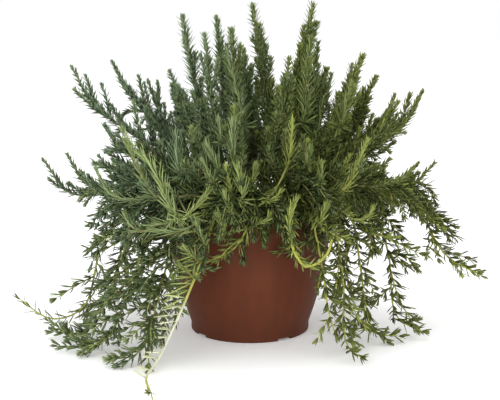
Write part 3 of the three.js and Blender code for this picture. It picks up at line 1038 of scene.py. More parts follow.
class Foliage:
    """Collects the copies of one piece and joins them in one mesh.

    On the map for baking every copy has a cell of its own, taller than it is wide, which it nearly fills.
    """

    CELL_TALL = 3.6
    CELL_FILL = np.array([0.84, 0.93])
    LOWEST = 0.27 * MM

    def __init__(self) -> None:
        """Starts with nothing."""
        self.batches: list[tuple[Array, ...]] = []
        self.vertices = 0
        self.cells = 0

    def add(self, pattern: Pattern, places: Array, growth: Array, dryness: Array, layer: Layer) -> None:
        """Adds copies of a pattern whose vertices are in place.

        Args:
            pattern: The shape.
            places: The vertices of each copy.
            growth: The freshness, tone and warmth of each vertex.
            dryness: How dry each vertex is.
            layer: The material.
        """
        copies, size = places.shape[:2]
        starts = self.vertices + size * np.arange(copies)
        cells = np.empty((copies, *pattern.cell_map.shape[:2], 3))
        cells[..., :2] = pattern.cell_map
        cells[..., 2] = self.cells + np.arange(copies)[:, None, None]
        self.batches.append(
            (
                places.reshape(-1, 3),
                (starts[:, None, None] + pattern.corners).reshape(-1, 3),
                np.tile(pattern.leaf_map, (copies, 1, 1)).reshape(-1, 2),
                cells.reshape(-1, 3),
                growth.reshape(-1, 3),
                dryness.reshape(-1),
                np.full(copies * len(pattern.corners), layer.value),
            )
        )
        self.vertices += copies * size
        self.cells += copies

    def stamp(
        self, pattern: Pattern, origins: Array, axes: Array, sizes: Array, growth: Array, dryness: Array
    ) -> None:
        """Copies a pattern to some places.

        Args:
            pattern: The shape.
            origins: Where each copy starts.
            axes: The directions of each copy's X, Y and Z.
            sizes: The size of each copy along them.
            growth: The freshness, tone and warmth of each copy.
            dryness: How dry each copy is.
        """
        local = pattern.places[None] * sizes[:, None, :]
        places = origins[:, None, :] + np.einsum("nvk,nkj->nvj", local, axes)
        growth, dryness = (np.repeat(values[:, None], places.shape[1], 1) for values in (growth, dryness))
        self.add(pattern, places, growth, dryness, Layer.LEAF)

    def rod(self, pattern: Pattern, twig: "Twig", course: Course, freshness: Array, tone: float) -> None:
        """Lays one copy of a stem along a path.

        Args:
            pattern: The unit stem.
            twig: The twig whose stem it is.
            course: The path.
            freshness: How fresh its bark is at the twig's marks.
            tone: How light it is.
        """
        share, (start, stop) = pattern.places[:, 2], twig.leafing.radii
        middle, _, normal, binormal = course.at(share * course.length)
        radius = start + (stop - start) * share[:, None]
        offset = pattern.places[:, :1] * normal + pattern.places[:, 1:2] * binormal
        growth = np.full((1, len(share), 3), (0.0, tone, twig.warmth))
        growth[..., 0] = np.interp(share, twig.marks, freshness)
        self.add(pattern, (middle + 2 * radius * offset)[None], growth, np.zeros((1, len(share))), Layer.BARK)

    def bake_map(self, cells: Array) -> Array:
        """Gives every copy its own cell of one map.

        Args:
            cells: The place of each corner in its cell, and the cell's number.

        Returns:
            The place of each corner on the map.
        """
        columns = math.ceil(math.sqrt(self.cells * self.CELL_TALL))
        rows = math.ceil(self.cells / columns)
        row, column = np.divmod(cells[:, 2:], columns)
        inner = (1 - self.CELL_FILL) / 2 + self.CELL_FILL * cells[:, :2]
        return (np.hstack([column, row]) + inner) / np.array([columns, rows])

    def to_object(self, name: str) -> Piece:
        """Joins the copies in one mesh, with no point below the floor.

        Args:
            name: The name of the object and its mesh.

        Returns:
            The object, at the origin.
        """
        places, corners, leaf_map, cells, growth, dryness, layers = (
            np.concatenate(column) for column in zip(*self.batches)
        )
        places[:, 2] = np.maximum(places[:, 2], self.LOWEST)
        mesh = bpy.data.meshes.new(name)
        mesh.from_pydata(places.tolist(), [], corners.tolist())
        for map_name, values in ((LEAF_MAP, leaf_map), (BAKE_MAP, self.bake_map(cells))):
            mesh.uv_layers.new(name=map_name).uv.foreach_set("vector", values.ravel())
        mesh.attributes.new(GROWTH, "FLOAT_VECTOR", "POINT").data.foreach_set("vector", growth.ravel())
        mesh.attributes.new(DRYNESS, "FLOAT", "POINT").data.foreach_set("value", dryness)
        mesh.polygons.foreach_set("material_index", layers)
        mesh.polygons.foreach_set("use_smooth", np.ones(len(corners), bool))
        mesh.update()
        piece = bpy.data.objects.new(name, mesh)
        bpy.context.scene.collection.objects.link(piece)
        return piece


@dataclass(frozen=True)
class Leafing:
    """How a stem, side shoot or sprig carries its leaves. What isn't said is as on a leaning stem.

    Lengths are in metres, angles in degrees. The pairs of leaves start above a bare stretch, and lean further
    in and are shorter within the tip zone. Each axil has a tuft. Leaves on the outer side may be longer.
    """

    radii: Span = (2.3 * MM, 1.0 * MM)
    bare: float = 12 * MM
    pitch: float = 4.2 * MM
    leaf: float = 14.5 * MM
    width: float = 2.3 * MM
    lean: float = 46
    tip_lean: float = 17
    tip_zone: float = 60 * MM
    tip_size: float = 0.48
    lift: float = 0.16
    tuft: int = 2
    side: float = 0.1


@dataclass(frozen=True)
class Habit:
    """How the stems of one form grow and what colours they have. What isn't said is as on a leaning stem.

    Side shoots are counted to the metre, and grow on a span of the stem. They start with a lean, and end with
    a lift and with a share of the stem's own direction. Some droop over the rim, and a skirt hangs from it.
    """

    slot: str
    leafing: Leafing
    crown_pitch: float = 4.2 * MM
    tuft_turn: float = 0.42
    tuft_lean: Span = (0.4, 1.1)
    tuft_size: Span = (0.5, 0.9)
    shoots: float = 78
    shoot_leaf: float = 14.5 * MM
    shoot_pitch: float = 3.7 * MM
    shoot_length: Span = (26 * MM, 58 * MM)
    shoot_span: Span = (0.03, 0.78)
    shoot_reach: float = 0.75
    shoot_lean: Span = (26, 58)
    shoot_lift: Span = (0.2, 1.0)
    shoot_return: float = 0.55
    droop: float = 0.2
    skirt: int = 2
    bud: int = 7
    tone: float = 0.6
    freshness: Span = (0.03, 0.24)
    bright_share: float = 0.14
    bark: Triple = (0.1, 0.4, 0.7)


@dataclass(frozen=True)
class Accent:
    """What sets a stem in front apart: how much fresher it is at some shares of its length, and its leaves.

    With a comb most of its leaves turn to that side, and with a twist each turns about its own length. They
    are sparse from a share of its length on.
    """

    # freshness past the painted glare range turns leaves and bark to the painted glare colour
    freshness: Numbers = (0.0, 0.0, 0.0)
    marks: Numbers = (0.0, 0.7, 1.0)
    leaf: float = 1.2
    width: float = 0.8
    lean: float = 0.8
    pitch: float = 1.0
    tuft: int = 1
    comb: Point | None = None
    comb_share: float = 0.85
    twist: float = 0.0
    shoots_to: float = 0.74
    sparse_from: float = 1.0
    tip_radius: float | None = None
    bright: bool = True


PLAIN = Accent(leaf=1.0, width=1.0, lean=1.0, shoots_to=1.0, bright=False)


@dataclass(frozen=True)
class Skirt:
    """The shoots that hang down from a stretch of a stem. Lengths are in mm."""

    count: int
    reach: Span = (62, 112)
    length: Span = (50, 92)
    drop: Span = (0.5, 1.1)
    spread: float = 0.9
    top: float = 205


class Form(Enum):
    """The three forms of stem."""

    SPIRE = Habit(
        "upright_foliage",
        Leafing(
            bare=8 * MM, pitch=3.3 * MM, leaf=20 * MM, lean=54, tip_lean=30, tip_zone=88 * MM, tip_size=0.44,
            lift=0.02, side=0.0,
        ),
        crown_pitch=3.3 * MM, tuft_turn=0.5, tuft_lean=(0.45, 1.05), tuft_size=(0.55, 0.95), shoots=155,
        shoot_leaf=16 * MM, shoot_pitch=3.4 * MM, shoot_length=(26 * MM, 50 * MM), shoot_span=(0.02, 0.78),
        shoot_reach=0.52, shoot_lean=(14, 32), shoot_lift=(0.0, 0.2), shoot_return=0.5, droop=0.0, skirt=0,
        tone=0.9, freshness=(0.08, 0.24), bright_share=0.05, bark=(0.05, 0.3, 0.5),
    )
    ARCH = Habit("leaning_foliage", Leafing())
    TRAIL = Habit(
        "trailing_foliage",
        Leafing(
            radii=(1.9 * MM, 0.8 * MM), pitch=8.6 * MM, leaf=18 * MM, width=2.9 * MM, lean=58, tip_lean=28,
            tip_zone=34 * MM, tip_size=0.6, lift=0.12, tuft=3, side=0.3,
        ),
        crown_pitch=5.0 * MM, tuft_turn=0.22, tuft_lean=(0.6, 1.15), tuft_size=(0.6, 1.05), shoots=42,
        shoot_leaf=18 * MM, shoot_pitch=8.0 * MM, shoot_length=(30 * MM, 76 * MM), shoot_span=(0.04, 0.92),
        shoot_reach=0.9, shoot_lean=(30, 76), shoot_lift=(-0.6, 0.8), shoot_return=0.3, droop=0.3, bud=4,
        tone=0.32, freshness=(0.1, 0.36), bright_share=0.24, bark=(0.4, 0.75, 0.9),
    )


@dataclass
class Patterns:
    """The shapes that every stem copies: each leaf in a few curvatures, and two stems."""

    fine: list[Pattern]
    plain: list[Pattern]
    young: list[Pattern]
    curved: list[Pattern]
    curved_young: list[Pattern]
    stem: Pattern
    shoot: Pattern

    @classmethod
    def model(cls) -> "Patterns":
        """Models each shape once.

        Returns:
            The shapes.
        """
        return cls(
            fine=cls.blades("fine_leaf", 5, (0.30, 0.74), (0.55, 1.0, 0.86), (24, 8, -14)),
            plain=cls.blades("plain_leaf", 3, (0.30, 0.74), (0.60, 1.12, 0.84), (38, 20, 2)),
            young=cls.blades("young_leaf", 3, (0.55,), (0.7, 1.14), (32, 10)),
            curved=cls.blades("curved_leaf", 3, (0.34, 0.72), (0.55, 1.14, 0.80), (28, 52, 70)),
            curved_young=cls.blades("curved_young_leaf", 3, (0.58,), (0.6, 1.14), (20, 44)),
            stem=Blade.rod("stem", 8, 30),
            shoot=Blade.rod("shoot", 4, 5),
        )

    @staticmethod
    def blades(name: str, sides: int, cuts: Numbers, widths: Numbers, bends: Numbers) -> list[Pattern]:
        """Models one leaf bent by each of some angles, in degrees, towards the stem's tip."""
        return [Blade(f"{name}_{i}", sides, cuts, widths, bend).model() for i, bend in enumerate(bends)]


@dataclass
class Twig:
    """A stem, side shoot or sprig that carries leaves. It is as fresh as it says at its marks."""

    course: Course
    leafing: Leafing
    freshness: Numbers
    marks: Numbers
    tone: float
    # how much painted shade its leaves get deep inside the crown
    painted_shade_share: float
    warmth: float
    pairs: list[Pattern]
    tufts: list[Pattern]
    accent: Accent = PLAIN

    def radius_at(self, marks: Array) -> Array:
        """The twig's radius at some distances from its start."""
        start, stop = self.leafing.radii
        return start + (stop - start) * marks / self.course.length

    def nearness(self, marks: Array) -> Array:
        """How near some distances from the start are to the tip: 0 at the tip, 1 where its zone ends."""
        return np.clip((self.course.length - marks) / self.leafing.tip_zone, 0.0, 1.0)

    def freshness_at(self, marks: Array) -> Array:
        """How fresh the twig is at some distances from its start."""
        return np.interp(marks / self.course.length, self.marks, self.freshness)

    def outer_side(self, marks: Array, turns: Array) -> Array:
        """How far leaves stand on the side that faces away from the pot and up.

        Args:
            marks: How far along the twig each leaf stands.
            turns: The side that it stands on, in radians around the twig.

        Returns:
            1 for a leaf on that side, -1 for one on the other side.
        """
        places, _, normals, binormals = self.course.at(marks)
        outward = unit(unit(places * LEVEL) + UP * 0.4)
        return (turned_about(turns, normals, binormals) * outward).sum(1)

    def combed(self, marks: Array, turns: Array, rng: np.random.Generator) -> Array:
        """Turns most of the leaves to one side, for a twig whose leaves stand like a comb.

        Args:
            marks: How far along the twig each leaf stands.
            turns: The side that it would stand on, in radians around the twig.
            rng: The random draws.

        Returns:
            The side that it stands on.
        """
        if self.accent.comb is None:
            return turns
        _, _, normals, binormals = self.course.at(marks)
        comb = np.array(self.accent.comb)
        wanted = np.arctan2(binormals @ comb, normals @ comb) + rng.normal(0, 0.3, len(marks))
        return np.where(rng.random(len(marks)) < self.accent.comb_share, wanted, turns)


@dataclass(frozen=True)
class Sprig:
    """A shoot that is placed as listed, mostly in front of the crown. The points that it passes are in mm."""

    points: Points
    freshness: float | Triple
    warmth: float
    leafing: Leafing


SPRIG_LEAFING = Leafing(
    radii=(1.2 * MM, 0.7 * MM), bare=3 * MM, pitch=4.6 * MM, width=1.55 * MM, lean=26, tip_lean=12,
    tip_zone=30 * MM, tip_size=0.85, lift=0.1, tuft=1, side=0.0,
)


def sprig(
    points: Points, freshness: float | Triple, leaf: float = 15, warmth: float = 0.25, **leafing: object
) -> Sprig:
    """A bright sprig, with the length of its leaves in mm and what else it has of its own."""
    return Sprig(points, freshness, warmth, replace(SPRIG_LEAFING, leaf=leaf * MM, **leafing))


def filler(points: Points, leaf: float = 17) -> Sprig:
    """A dark leafy shoot that fills a gap in the crown, with the length of its leaves in mm."""
    shape = {"lean": 46, "tip_lean": 20, "tip_zone": 60 * MM, "tip_size": 0.5, "width": 2.3 * MM}
    return sprig(points, 0.14, leaf, -0.1, pitch=3.4 * MM, **shape)


def rib(points: Points) -> Sprig:
    """A shoot up the front of a spire, whose leaves show in pairs."""
    shape = {"lean": 50, "tip_lean": 28, "tip_zone": 80 * MM, "tip_size": 0.5, "width": 1.9 * MM}
    return sprig(points, 0.34, 21, 0.0, **shape)


def hanging_shoot(points: Points, freshness: float) -> Sprig:
    """A dull shoot that hangs beside the pot."""
    return sprig(points, freshness, lean=44, width=2.6 * MM)


@dataclass
class Surroundings:
    """What the leaves and shoots keep clear of: the floor, the pot and the soil."""

    pot: Pot
    soil: Soil
    floor: float = 0.9 * MM
    clearance: float = 2.5 * MM
    lip: float = 3 * MM
    shoot_gap: float = 4 * MM
    crown_height: float = 115 * MM
    crown_overhang: float = 75 * MM
    crown_bottom: float = 0.7
    wall_zone: float = 0.8

    def steer(self, starts: Array, growing: Array, lengths: Array) -> Array:
        """Turns leaves away from what they would run into.

        Args:
            starts: Where the leaves start.
            growing: Their directions.
            lengths: Their lengths.

        Returns:
            The directions, corrected.
        """
        pot = self.pot
        tips = starts + growing * lengths[:, None]
        reach = np.hypot(tips[:, 0], tips[:, 1])
        outward = np.zeros_like(starts)
        outward[:, :2] = tips[:, :2] / np.maximum(reach, 1e-6)[:, None]
        wall = pot.wall_at(tips[:, 2]) + self.lip * (tips[:, 2] > pot.height - pot.lip_height)
        below_rim = tips[:, 2] < pot.height + self.clearance
        outside = np.hypot(starts[:, 0], starts[:, 1]) > pot.wall_radius - pot.wall
        push = np.where(outside & below_rim, np.maximum(0.0, wall + self.clearance - reach), 0.0)
        inner = pot.wall_radius - pot.wall - self.clearance
        push = np.where(~outside & below_rim, np.minimum(0.0, inner - reach), push)
        turned = growing + outward * (push / lengths)[:, None]
        over_floor = outside | (reach > pot.wall_radius)
        ground = np.where(over_floor, self.floor, self.soil.height_at(reach) + self.clearance)
        turned[:, 2] = np.maximum(turned[:, 2], (ground - starts[:, 2]) / lengths)
        return unit(turned)

    def depth(self, places: Array) -> Array:
        """How deep inside the crown some places are, where leaves are darkened as painted shade for the shade
        that falls inside the crown.

        Args:
            places: The places.

        Returns:
            A share from 0 to 1 for each.
        """
        height = places[:, 2]
        above = (height - self.pot.height) / self.crown_height
        beside = (np.hypot(places[:, 0], places[:, 1]) - self.pot.wall_radius) / self.crown_overhang
        inside = np.clip(1.0 - np.maximum(above, beside), 0.0, 1.0)
        return inside * (height > self.pot.height * self.crown_bottom)

    def keep_off(self, path: Array) -> Array:
        """Moves the points of a shoot's path off the floor and off the pot's wall.

        Args:
            path: The path, from where the shoot starts.

        Returns:
            The path, corrected.
        """
        pot, reach = self.pot, np.hypot(path[:, 0], path[:, 1])
        inner = pot.wall_radius - pot.wall
        if reach[0] > inner or path[0, 2] > pot.height:
            near_wall = reach > pot.wall_radius * self.wall_zone
            wanted = np.maximum(reach, np.where(near_wall, pot.wall_at(path[:, 2]) + self.shoot_gap, 0.0))
        else:
            wanted = np.minimum(reach, inner - self.shoot_gap)
        wanted = np.where(path[:, 2] < pot.height + self.shoot_gap, wanted, reach)
        kept = path.copy()
        kept[:, :2] *= (wanted / np.maximum(reach, 1e-6))[:, None]
        kept[:, 2] = np.maximum(kept[:, 2], self.clearance)
        return kept


@dataclass(frozen=True)
class Plan:
    """One stem: its foot on the soil and the points that it passes, in mm, and what sets it apart."""

    path: Points
    fullness: float = 1.0
    skirt: Skirt | None = None
    accent: Accent = PLAIN
    sprigs: tuple[Sprig, ...] = ()


@dataclass
class LeafyStem:
    """One stem of the plant with its side shoots and leaves.

    A falling stem first rises to a crest above the rim. Leaves are the more olive the further right and the
    lower they grow. The grey-green towards the left is painted cool light, as from a cool light on that side;
    the olive low down is the leaves' own colour. The two ranges say where that sets in and over what distance
    it becomes full.
    """

    name: str
    plan: Plan
    seed: int
    patterns: Patterns
    surroundings: Surroundings
    buried: float = 13.7 * MM
    rim_crest: Span = (97 * MM, 180 * MM)
    rim_rise: Span = (0.35, 167 * MM)
    rim_height: float = 155 * MM
    rim_zone: Span = (60 * MM, 230 * MM)
    inner_reach: float = 52 * MM
    inner_height: float = 192 * MM
    # where the painted cool light of the left gives way to olive, and over what distance
    painted_cool_light_span: Span = (-140 * MM, 240 * MM)
    olive_low: Span = (215 * MM, 110 * MM)
    stem_steps: int = 90
    sprig_steps: int = 24
    shoot_steps: int = 12
    shoot_radii: Span = (1.0 * MM, 0.6 * MM)
    shoot_bare: float = 4 * MM
    shoot_lean: float = 46
    shoot_tip_zone: float = 26 * MM
    shoot_tip_size: float = 0.66
    shoot_turn: float = 2.4
    droop_lift: Span = (-1.6, -0.6)
    skirt_brightness: float = 0.4
    bright_freshness: Span = (0.35, 0.85)
    node_spread: Span = (0.86, 1.14)
    sparse_share: float = 0.35
    sparse_size: float = 0.6
    tuft_side: float = -0.12
    bud_place: float = 3.0 * MM
    bud_width: float = 1.9 * MM
    dry_below: float = 190 * MM

    def __post_init__(self) -> None:
        """Finds the stem's habit and its leaves, and starts its own random draws."""
        form, shapes = Form[self.name.split("_")[0].upper()], self.patterns
        self.upright = form is Form.SPIRE
        self.trailing = form is Form.TRAIL
        self.habit = form.value
        own = shapes.fine if self.plan.accent.bright else shapes.plain
        self.stem_leaves = shapes.curved if self.trailing else own
        self.shoot_leaves = shapes.curved if self.trailing else shapes.young
        self.tuft_leaves = shapes.curved_young if self.trailing else shapes.young
        self.foliage = Foliage()
        self.rng = np.random.default_rng(self.seed)

    def path(self) -> Array:
        """The stem's path from the soil to its tip, as the CAD has it.

        Returns:
            Points along it, in metres.
        """
        foot, *points = (np.array(point) * MM for point in self.plan.path)
        start = np.array([*foot, float(self.surroundings.soil.height_at(np.hypot(*foot)))])
        if self.trailing:
            share = self.rim_crest[0] / np.hypot(*points[0][:2])
            crest = np.array([*(points[0][:2] * share), self.rim_crest[1]])
            rise = start + (crest - start) * self.rim_rise[0]
            rise[2] = self.rim_rise[1]
            points = [rise, crest, *points]
        return smooth_path(np.array([start, *points]))

    def warmth_at(self, place: Array) -> float:
        """How olive the leaves are at a place: grey-green on the left and olive on the right and low down.
        The change from left to right is painted cool light from the left; the olive low down is the leaves'
        own colour.

        Args:
            place: A point on the plant.

        Returns:
            A share from 0 to 1.
        """
        # painted light: grey-green towards the left for a cool light falling from that side
        share = np.clip((place[0] - self.painted_cool_light_span[0]) / self.painted_cool_light_span[1], 0.0, 1.0)
        low = np.clip((self.olive_low[0] - place[2]) / self.olive_low[1], 0.0, 1.0)
        return float(min(1.0, share * share * (3 - 2 * share) + 0.5 * low))

    def shoots(self, stem: Twig) -> list[Twig]:
        """The side shoots of the stem.

        Args:
            stem: The stem that they grow from.

        Returns:
            The side shoots.
        """
        habit, rng, course = self.habit, self.rng, stem.course
        low, high = habit.shoot_span
        high = min(high, stem.accent.shoots_to)
        count = max(2, round(self.plan.fullness * habit.shoots * course.length * (high - low)))
        shares = low + (high - low) * (np.arange(count) + rng.uniform(0.1, 0.9, count)) / count
        turns = rng.uniform(0, math.tau) + np.arange(count) * self.shoot_turn + rng.normal(0, 0.3, count)
        places, tangents, normals, binormals = course.at(shares * course.length)
        reach, height = np.hypot(places[:, 0], places[:, 1]), places[:, 2]
        outer = (reach >= self.inner_reach) | (height >= self.inner_height)
        made = []
        for i in np.nonzero(outer)[0]:
            radial = math.cos(turns[i]) * normals[i] + math.sin(turns[i]) * binormals[i]
            if not self.upright and radial[2] < -0.2:
                radial = unit(radial * np.array([1.0, 1.0, -0.6]))
            lean = math.radians(rng.uniform(*habit.shoot_lean)) * (1.35 - 0.75 * shares[i])
            length = rng.uniform(*habit.shoot_length) * (1.15 - 0.5 * shares[i])
            length = min(length, habit.shoot_reach * (1 - shares[i]) * course.length + 8 * MM)
            first = unit(tangents[i] * math.cos(lean) + radial * math.sin(lean))
            lift = rng.uniform(*habit.shoot_lift)
            over_rim = self.rim_zone[0] < reach[i] < self.rim_zone[1] and height[i] > self.rim_height
            if over_rim and rng.random() < habit.droop:
                lift = rng.uniform(*self.droop_lift)
            last = unit(first * (1 - habit.shoot_return) + tangents[i] * habit.shoot_return + UP * lift)
            made.append(self.shoot(places[i], first, last, length))
        return made

    def skirt_shoots(self, stem: Twig) -> list[Twig]:
        """The shoots that hang down from the stem, over the pot's rim or outside it.

        Args:
            stem: The stem that they grow from.

        Returns:
            The hanging shoots.
        """
        rng, course, skirt = self.rng, stem.course, self.plan.skirt or Skirt(self.habit.skirt)
        reach = np.hypot(course.places[:, 0], course.places[:, 1]) / MM
        low, high = skirt.reach
        over = course.marks[(reach > low) & (reach < high) & (course.places[:, 2] < skirt.top * MM)]
        made = []
        for _ in range(skirt.count if len(over) else 0):
            place = course.at(rng.choice(over, 1))[0][0]
            outward = unit(place * LEVEL)
            sideways = np.cross(UP, outward) * rng.uniform(-skirt.spread, skirt.spread)
            first = unit(outward + sideways + UP * rng.uniform(-0.1, 0.45))
            last = unit(outward * 0.3 + sideways * 0.5 - UP * rng.uniform(*skirt.drop))
            length = rng.uniform(*skirt.length) * MM
            made.append(self.shoot(place, first, last, length, self.skirt_brightness))
        return made

    def shoot(self, place: Array, first: Array, last: Array, length: float, brightness: float = 1.0) -> Twig:
        """One side shoot.

        Args:
            place: Where it starts.
            first: The direction that it starts in.
            last: The direction that it ends in.
            length: Its length.
            brightness: How bright its fresh leaves may be.

        Returns:
            The side shoot.
        """
        habit, rng, steps = self.habit, self.rng, self.shoot_steps
        share = np.linspace(0, 1, steps)[:, None]
        turning = unit(first * (1 - share) + last * share)
        path = place + np.vstack([np.zeros(3), np.cumsum(turning[1:] * length / (steps - 1), axis=0)])
        path = self.surroundings.keep_off(path)
        depth = float(self.surroundings.depth(path[steps // 2][None])[0])
        bright = rng.random() < habit.bright_share * (1 - depth) * brightness
        fresh = rng.uniform(*(self.bright_freshness if bright else habit.freshness))
        fresh = (fresh + self.plan.accent.freshness[0] * 0.2) * brightness
        leafing = replace(
            habit.leafing,
            radii=self.shoot_radii,
            bare=self.shoot_bare,
            pitch=habit.shoot_pitch,
            leaf=habit.shoot_leaf * rng.uniform(0.76, 1.0) * (1 + 0.3 * depth),
            width=habit.leafing.width * (1 - 0.2 * depth),
            lean=min(habit.leafing.lean, self.shoot_lean) * rng.uniform(0.8, 1.0),
            tip_zone=self.shoot_tip_zone,
            tip_size=self.shoot_tip_size,
            tuft=habit.leafing.tuft - 1,
        )
        return Twig(
            course=Course(path, steps),
            leafing=leafing,
            freshness=(fresh * 0.8, fresh * 0.9, fresh * 1.2 + 0.08 * bright),
            marks=(0.0, 0.5, 1.0),
            tone=float(np.clip(rng.normal(habit.tone, 0.18) - 0.25 * (1 - brightness), 0, 1)),
            painted_shade_share=1.0 - bright,
            warmth=float(np.clip(self.warmth_at(place) + rng.normal(0, 0.12), 0, 1)),
            pairs=self.shoot_leaves,
            tufts=self.tuft_leaves,
        )

    def grow_sprig(self, stem: Twig, sprig: Sprig) -> Twig:
        """One shoot that is placed as listed.

        Args:
            stem: The stem that it grows from, where the stem is nearest.
            sprig: Its points and leaves.

        Returns:
            The shoot as a twig.
        """
        points = np.array(sprig.points) * MM
        points[-1] -= unit(points[-1] - points[-2]) * sprig.leafing.leaf * 0.5
        places = stem.course.places[8:-8]
        near = places[np.argmin(np.linalg.norm(places - points[0], axis=1))]
        joint = float(np.linalg.norm(points[0] - near))
        middle = near + (points[0] - near) * 0.6 - UP * 0.1 * joint
        return Twig(
            course=Course(smooth_path(np.array([near, middle, *points]), 8), self.sprig_steps),
            leafing=replace(sprig.leafing, bare=max(sprig.leafing.bare, joint * 0.5)),
            freshness=tuple(np.array([0.7, 0.8, 1.0]) * sprig.freshness),
            marks=(0.0, 0.6, 1.0),
            tone=0.62,
            painted_shade_share=0.0,
            warmth=float(np.clip(self.warmth_at(points[0]) * 0.75 + sprig.warmth + 0.1, 0, 1)),
            pairs=self.patterns.fine,
            tufts=self.patterns.young,
        )

    def leaves(
        self, twig: Twig, kinds: list[Pattern],
        marks: Array, turns: Array, leans: Array, lengths: Array, widths: Array,
    ) -> None:
        """Copies leaves onto a twig.

        Args:
            twig: The twig.
            kinds: The leaves to choose from.
            marks: How far along the twig each leaf stands.
            turns: The side that it stands on, in radians around the twig.
            leans: How far it leans out, in radians.
            lengths: Its length.
            widths: Its width.
        """
        rng, count = self.rng, len(marks)
        places, tangents, normals, binormals = twig.course.at(marks)
        radial = turned_about(turns, normals, binormals)
        sine, cosine = np.sin(leans)[:, None], np.cos(leans)[:, None]
        growing = unit(tangents * cosine + radial * sine + UP * twig.leafing.lift)
        starts = places + radial * (twig.radius_at(marks) * 0.7)[:, None]
        growing = self.surroundings.steer(starts, growing, lengths)
        facing = tangents * sine - radial * cosine
        facing = unit(facing - growing * (facing * growing).sum(1, keepdims=True))
        twist = math.radians(twig.accent.twist)
        facing = facing * math.cos(twist) + np.cross(growing, facing) * math.sin(twist)
        axes = np.stack([np.cross(facing, growing), facing, growing], 1)
        sizes = np.stack([widths, widths * 0.42, lengths], 1)
        fresh = np.maximum(twig.freshness_at(marks) + rng.normal(0, 0.05, count), 0)
        warmth = np.clip(twig.warmth + rng.normal(0, 0.06, count), 0, 1)
        # painted shade: leaves deep inside the crown are darkened, olive ones more, for the shade that falls
        # there
        shade = twig.painted_shade_share * self.surroundings.depth(starts) * (0.3 + 0.58 * warmth)
        tone = np.clip(rng.normal(twig.tone, 0.2, count) - shade, 0, 1)
        growth = np.stack([fresh, tone, warmth], 1)
        dry_share = 0.004 + 0.016 * (starts[:, 2] < self.dry_below)
        dryness = np.where(rng.random(count) < dry_share, 0.85, 0.0)
        chosen = rng.integers(0, len(kinds), count)
        for kind, pattern in enumerate(kinds):
            own = chosen == kind
            if own.any():
                self.foliage.stamp(pattern, starts[own], axes[own], sizes[own], growth[own], dryness[own])

    def nodes(self, twig: Twig) -> Array:
        """Where a twig carries its pairs of leaves: closer together near its tip and above the rim.

        Args:
            twig: The twig.

        Returns:
            Distances from its start.
        """
        course, marks = twig.course, [twig.leafing.bare]
        while marks[-1] < course.length - 2 * MM:
            step = twig.leafing.pitch * (0.72 + 0.28 * float(twig.nearness(marks[-1])))
            if np.interp(marks[-1], course.marks, course.places[:, 2]) > self.rim_height:
                step = min(step, self.habit.crown_pitch)
            marks.append(marks[-1] + step * self.rng.uniform(*self.node_spread))
        return np.array(marks[:-1])

    def dress(self, twig: Twig) -> None:
        """Gives a twig its pairs of leaves, the tufts in their axils and its bud.

        Args:
            twig: The twig.
        """
        rng, habit, leafing, length = self.rng, self.habit, twig.leafing, twig.course.length
        marks = self.nodes(twig)
        sparse_from = twig.accent.sparse_from * length
        kept = (marks < sparse_from) | (rng.random(len(marks)) < self.sparse_share)
        marks = marks[kept | (marks > length - 8 * MM)]
        turns = rng.uniform(0, math.tau) + np.arange(len(marks)) * math.pi / 2
        marks = np.repeat(marks, 2)
        turns = (turns[:, None] + np.array([0.0, math.pi])).ravel() + rng.normal(0, 0.2, len(marks))
        turns = twig.combed(marks, turns, rng)
        nearness = twig.nearness(marks)
        lean = np.radians(leafing.tip_lean + (leafing.lean - leafing.tip_lean) * nearness**0.6)
        lean = lean * rng.normal(1.0, 0.14, len(marks))
        size = leafing.tip_size + (1 - leafing.tip_size) * nearness**0.8
        size = size * np.where(marks < sparse_from, 1.0, self.sparse_size)
        outer = leafing.side * twig.outer_side(marks, turns)
        lengths = leafing.leaf * size * rng.normal(1.0, 0.1, len(marks)) * (1 + outer)
        widths = leafing.width * (0.8 + 0.2 * nearness)
        self.leaves(twig, twig.pairs, marks, turns, lean, lengths, widths)
        tuft = np.repeat(np.nonzero(outer > self.tuft_side)[0], leafing.tuft)
        count = len(tuft)
        spread = rng.uniform(*habit.tuft_lean, count)
        self.leaves(
            twig,
            twig.tufts,
            np.clip(marks[tuft] + rng.uniform(0, 1.5 * MM, count), 0, length),
            turns[tuft] + rng.normal(0, habit.tuft_turn, count),
            lean[tuft] * spread,
            lengths[tuft] * rng.uniform(*habit.tuft_size, count) * (1 - 0.5 * np.abs(spread - 0.9)),
            leafing.width * rng.uniform(0.72, 0.98, count),
        )
        count = habit.bud
        self.leaves(
            twig,
            self.patterns.young,
            np.full(count, length - self.bud_place),
            np.arange(count) * math.tau / count + rng.normal(0, 0.2, count),
            np.radians(rng.uniform(4, 20, count)),
            leafing.leaf * leafing.tip_size * rng.uniform(0.75, 1.0, count),
            np.full(count, self.bud_width),
        )

    def stem_twig(self, path: Array) -> Twig:
        """The stem itself.

        Args:
            path: Points along it.

        Returns:
            The stem as a twig.
        """
        habit, leafing, accent = self.habit, self.habit.leafing, self.plan.accent
        bright, course = accent.bright, Course(path, self.stem_steps)
        fresh = np.interp(accent.marks, (0, 0.7, 1), (habit.freshness[0], *habit.freshness))
        return Twig(
            course=course,
            leafing=replace(
                leafing,
                radii=(leafing.radii[0], accent.tip_radius or leafing.radii[1]),
                pitch=leafing.pitch * accent.pitch,
                leaf=leafing.leaf * accent.leaf,
                width=leafing.width * accent.width,
                lean=leafing.lean * accent.lean,
                tuft=accent.tuft if bright else leafing.tuft,
                side=0.0 if bright else leafing.side,
            ),
            freshness=tuple(fresh + np.array(accent.freshness)),
            marks=accent.marks,
            tone=0.6 if bright else habit.tone,
            painted_shade_share=1.0 - bright,
            warmth=min(1.0, self.warmth_at(course.places[2 * self.stem_steps // 3]) + 0.3 * bright),
            pairs=self.stem_leaves,
            tufts=self.tuft_leaves,
            accent=accent,
        )

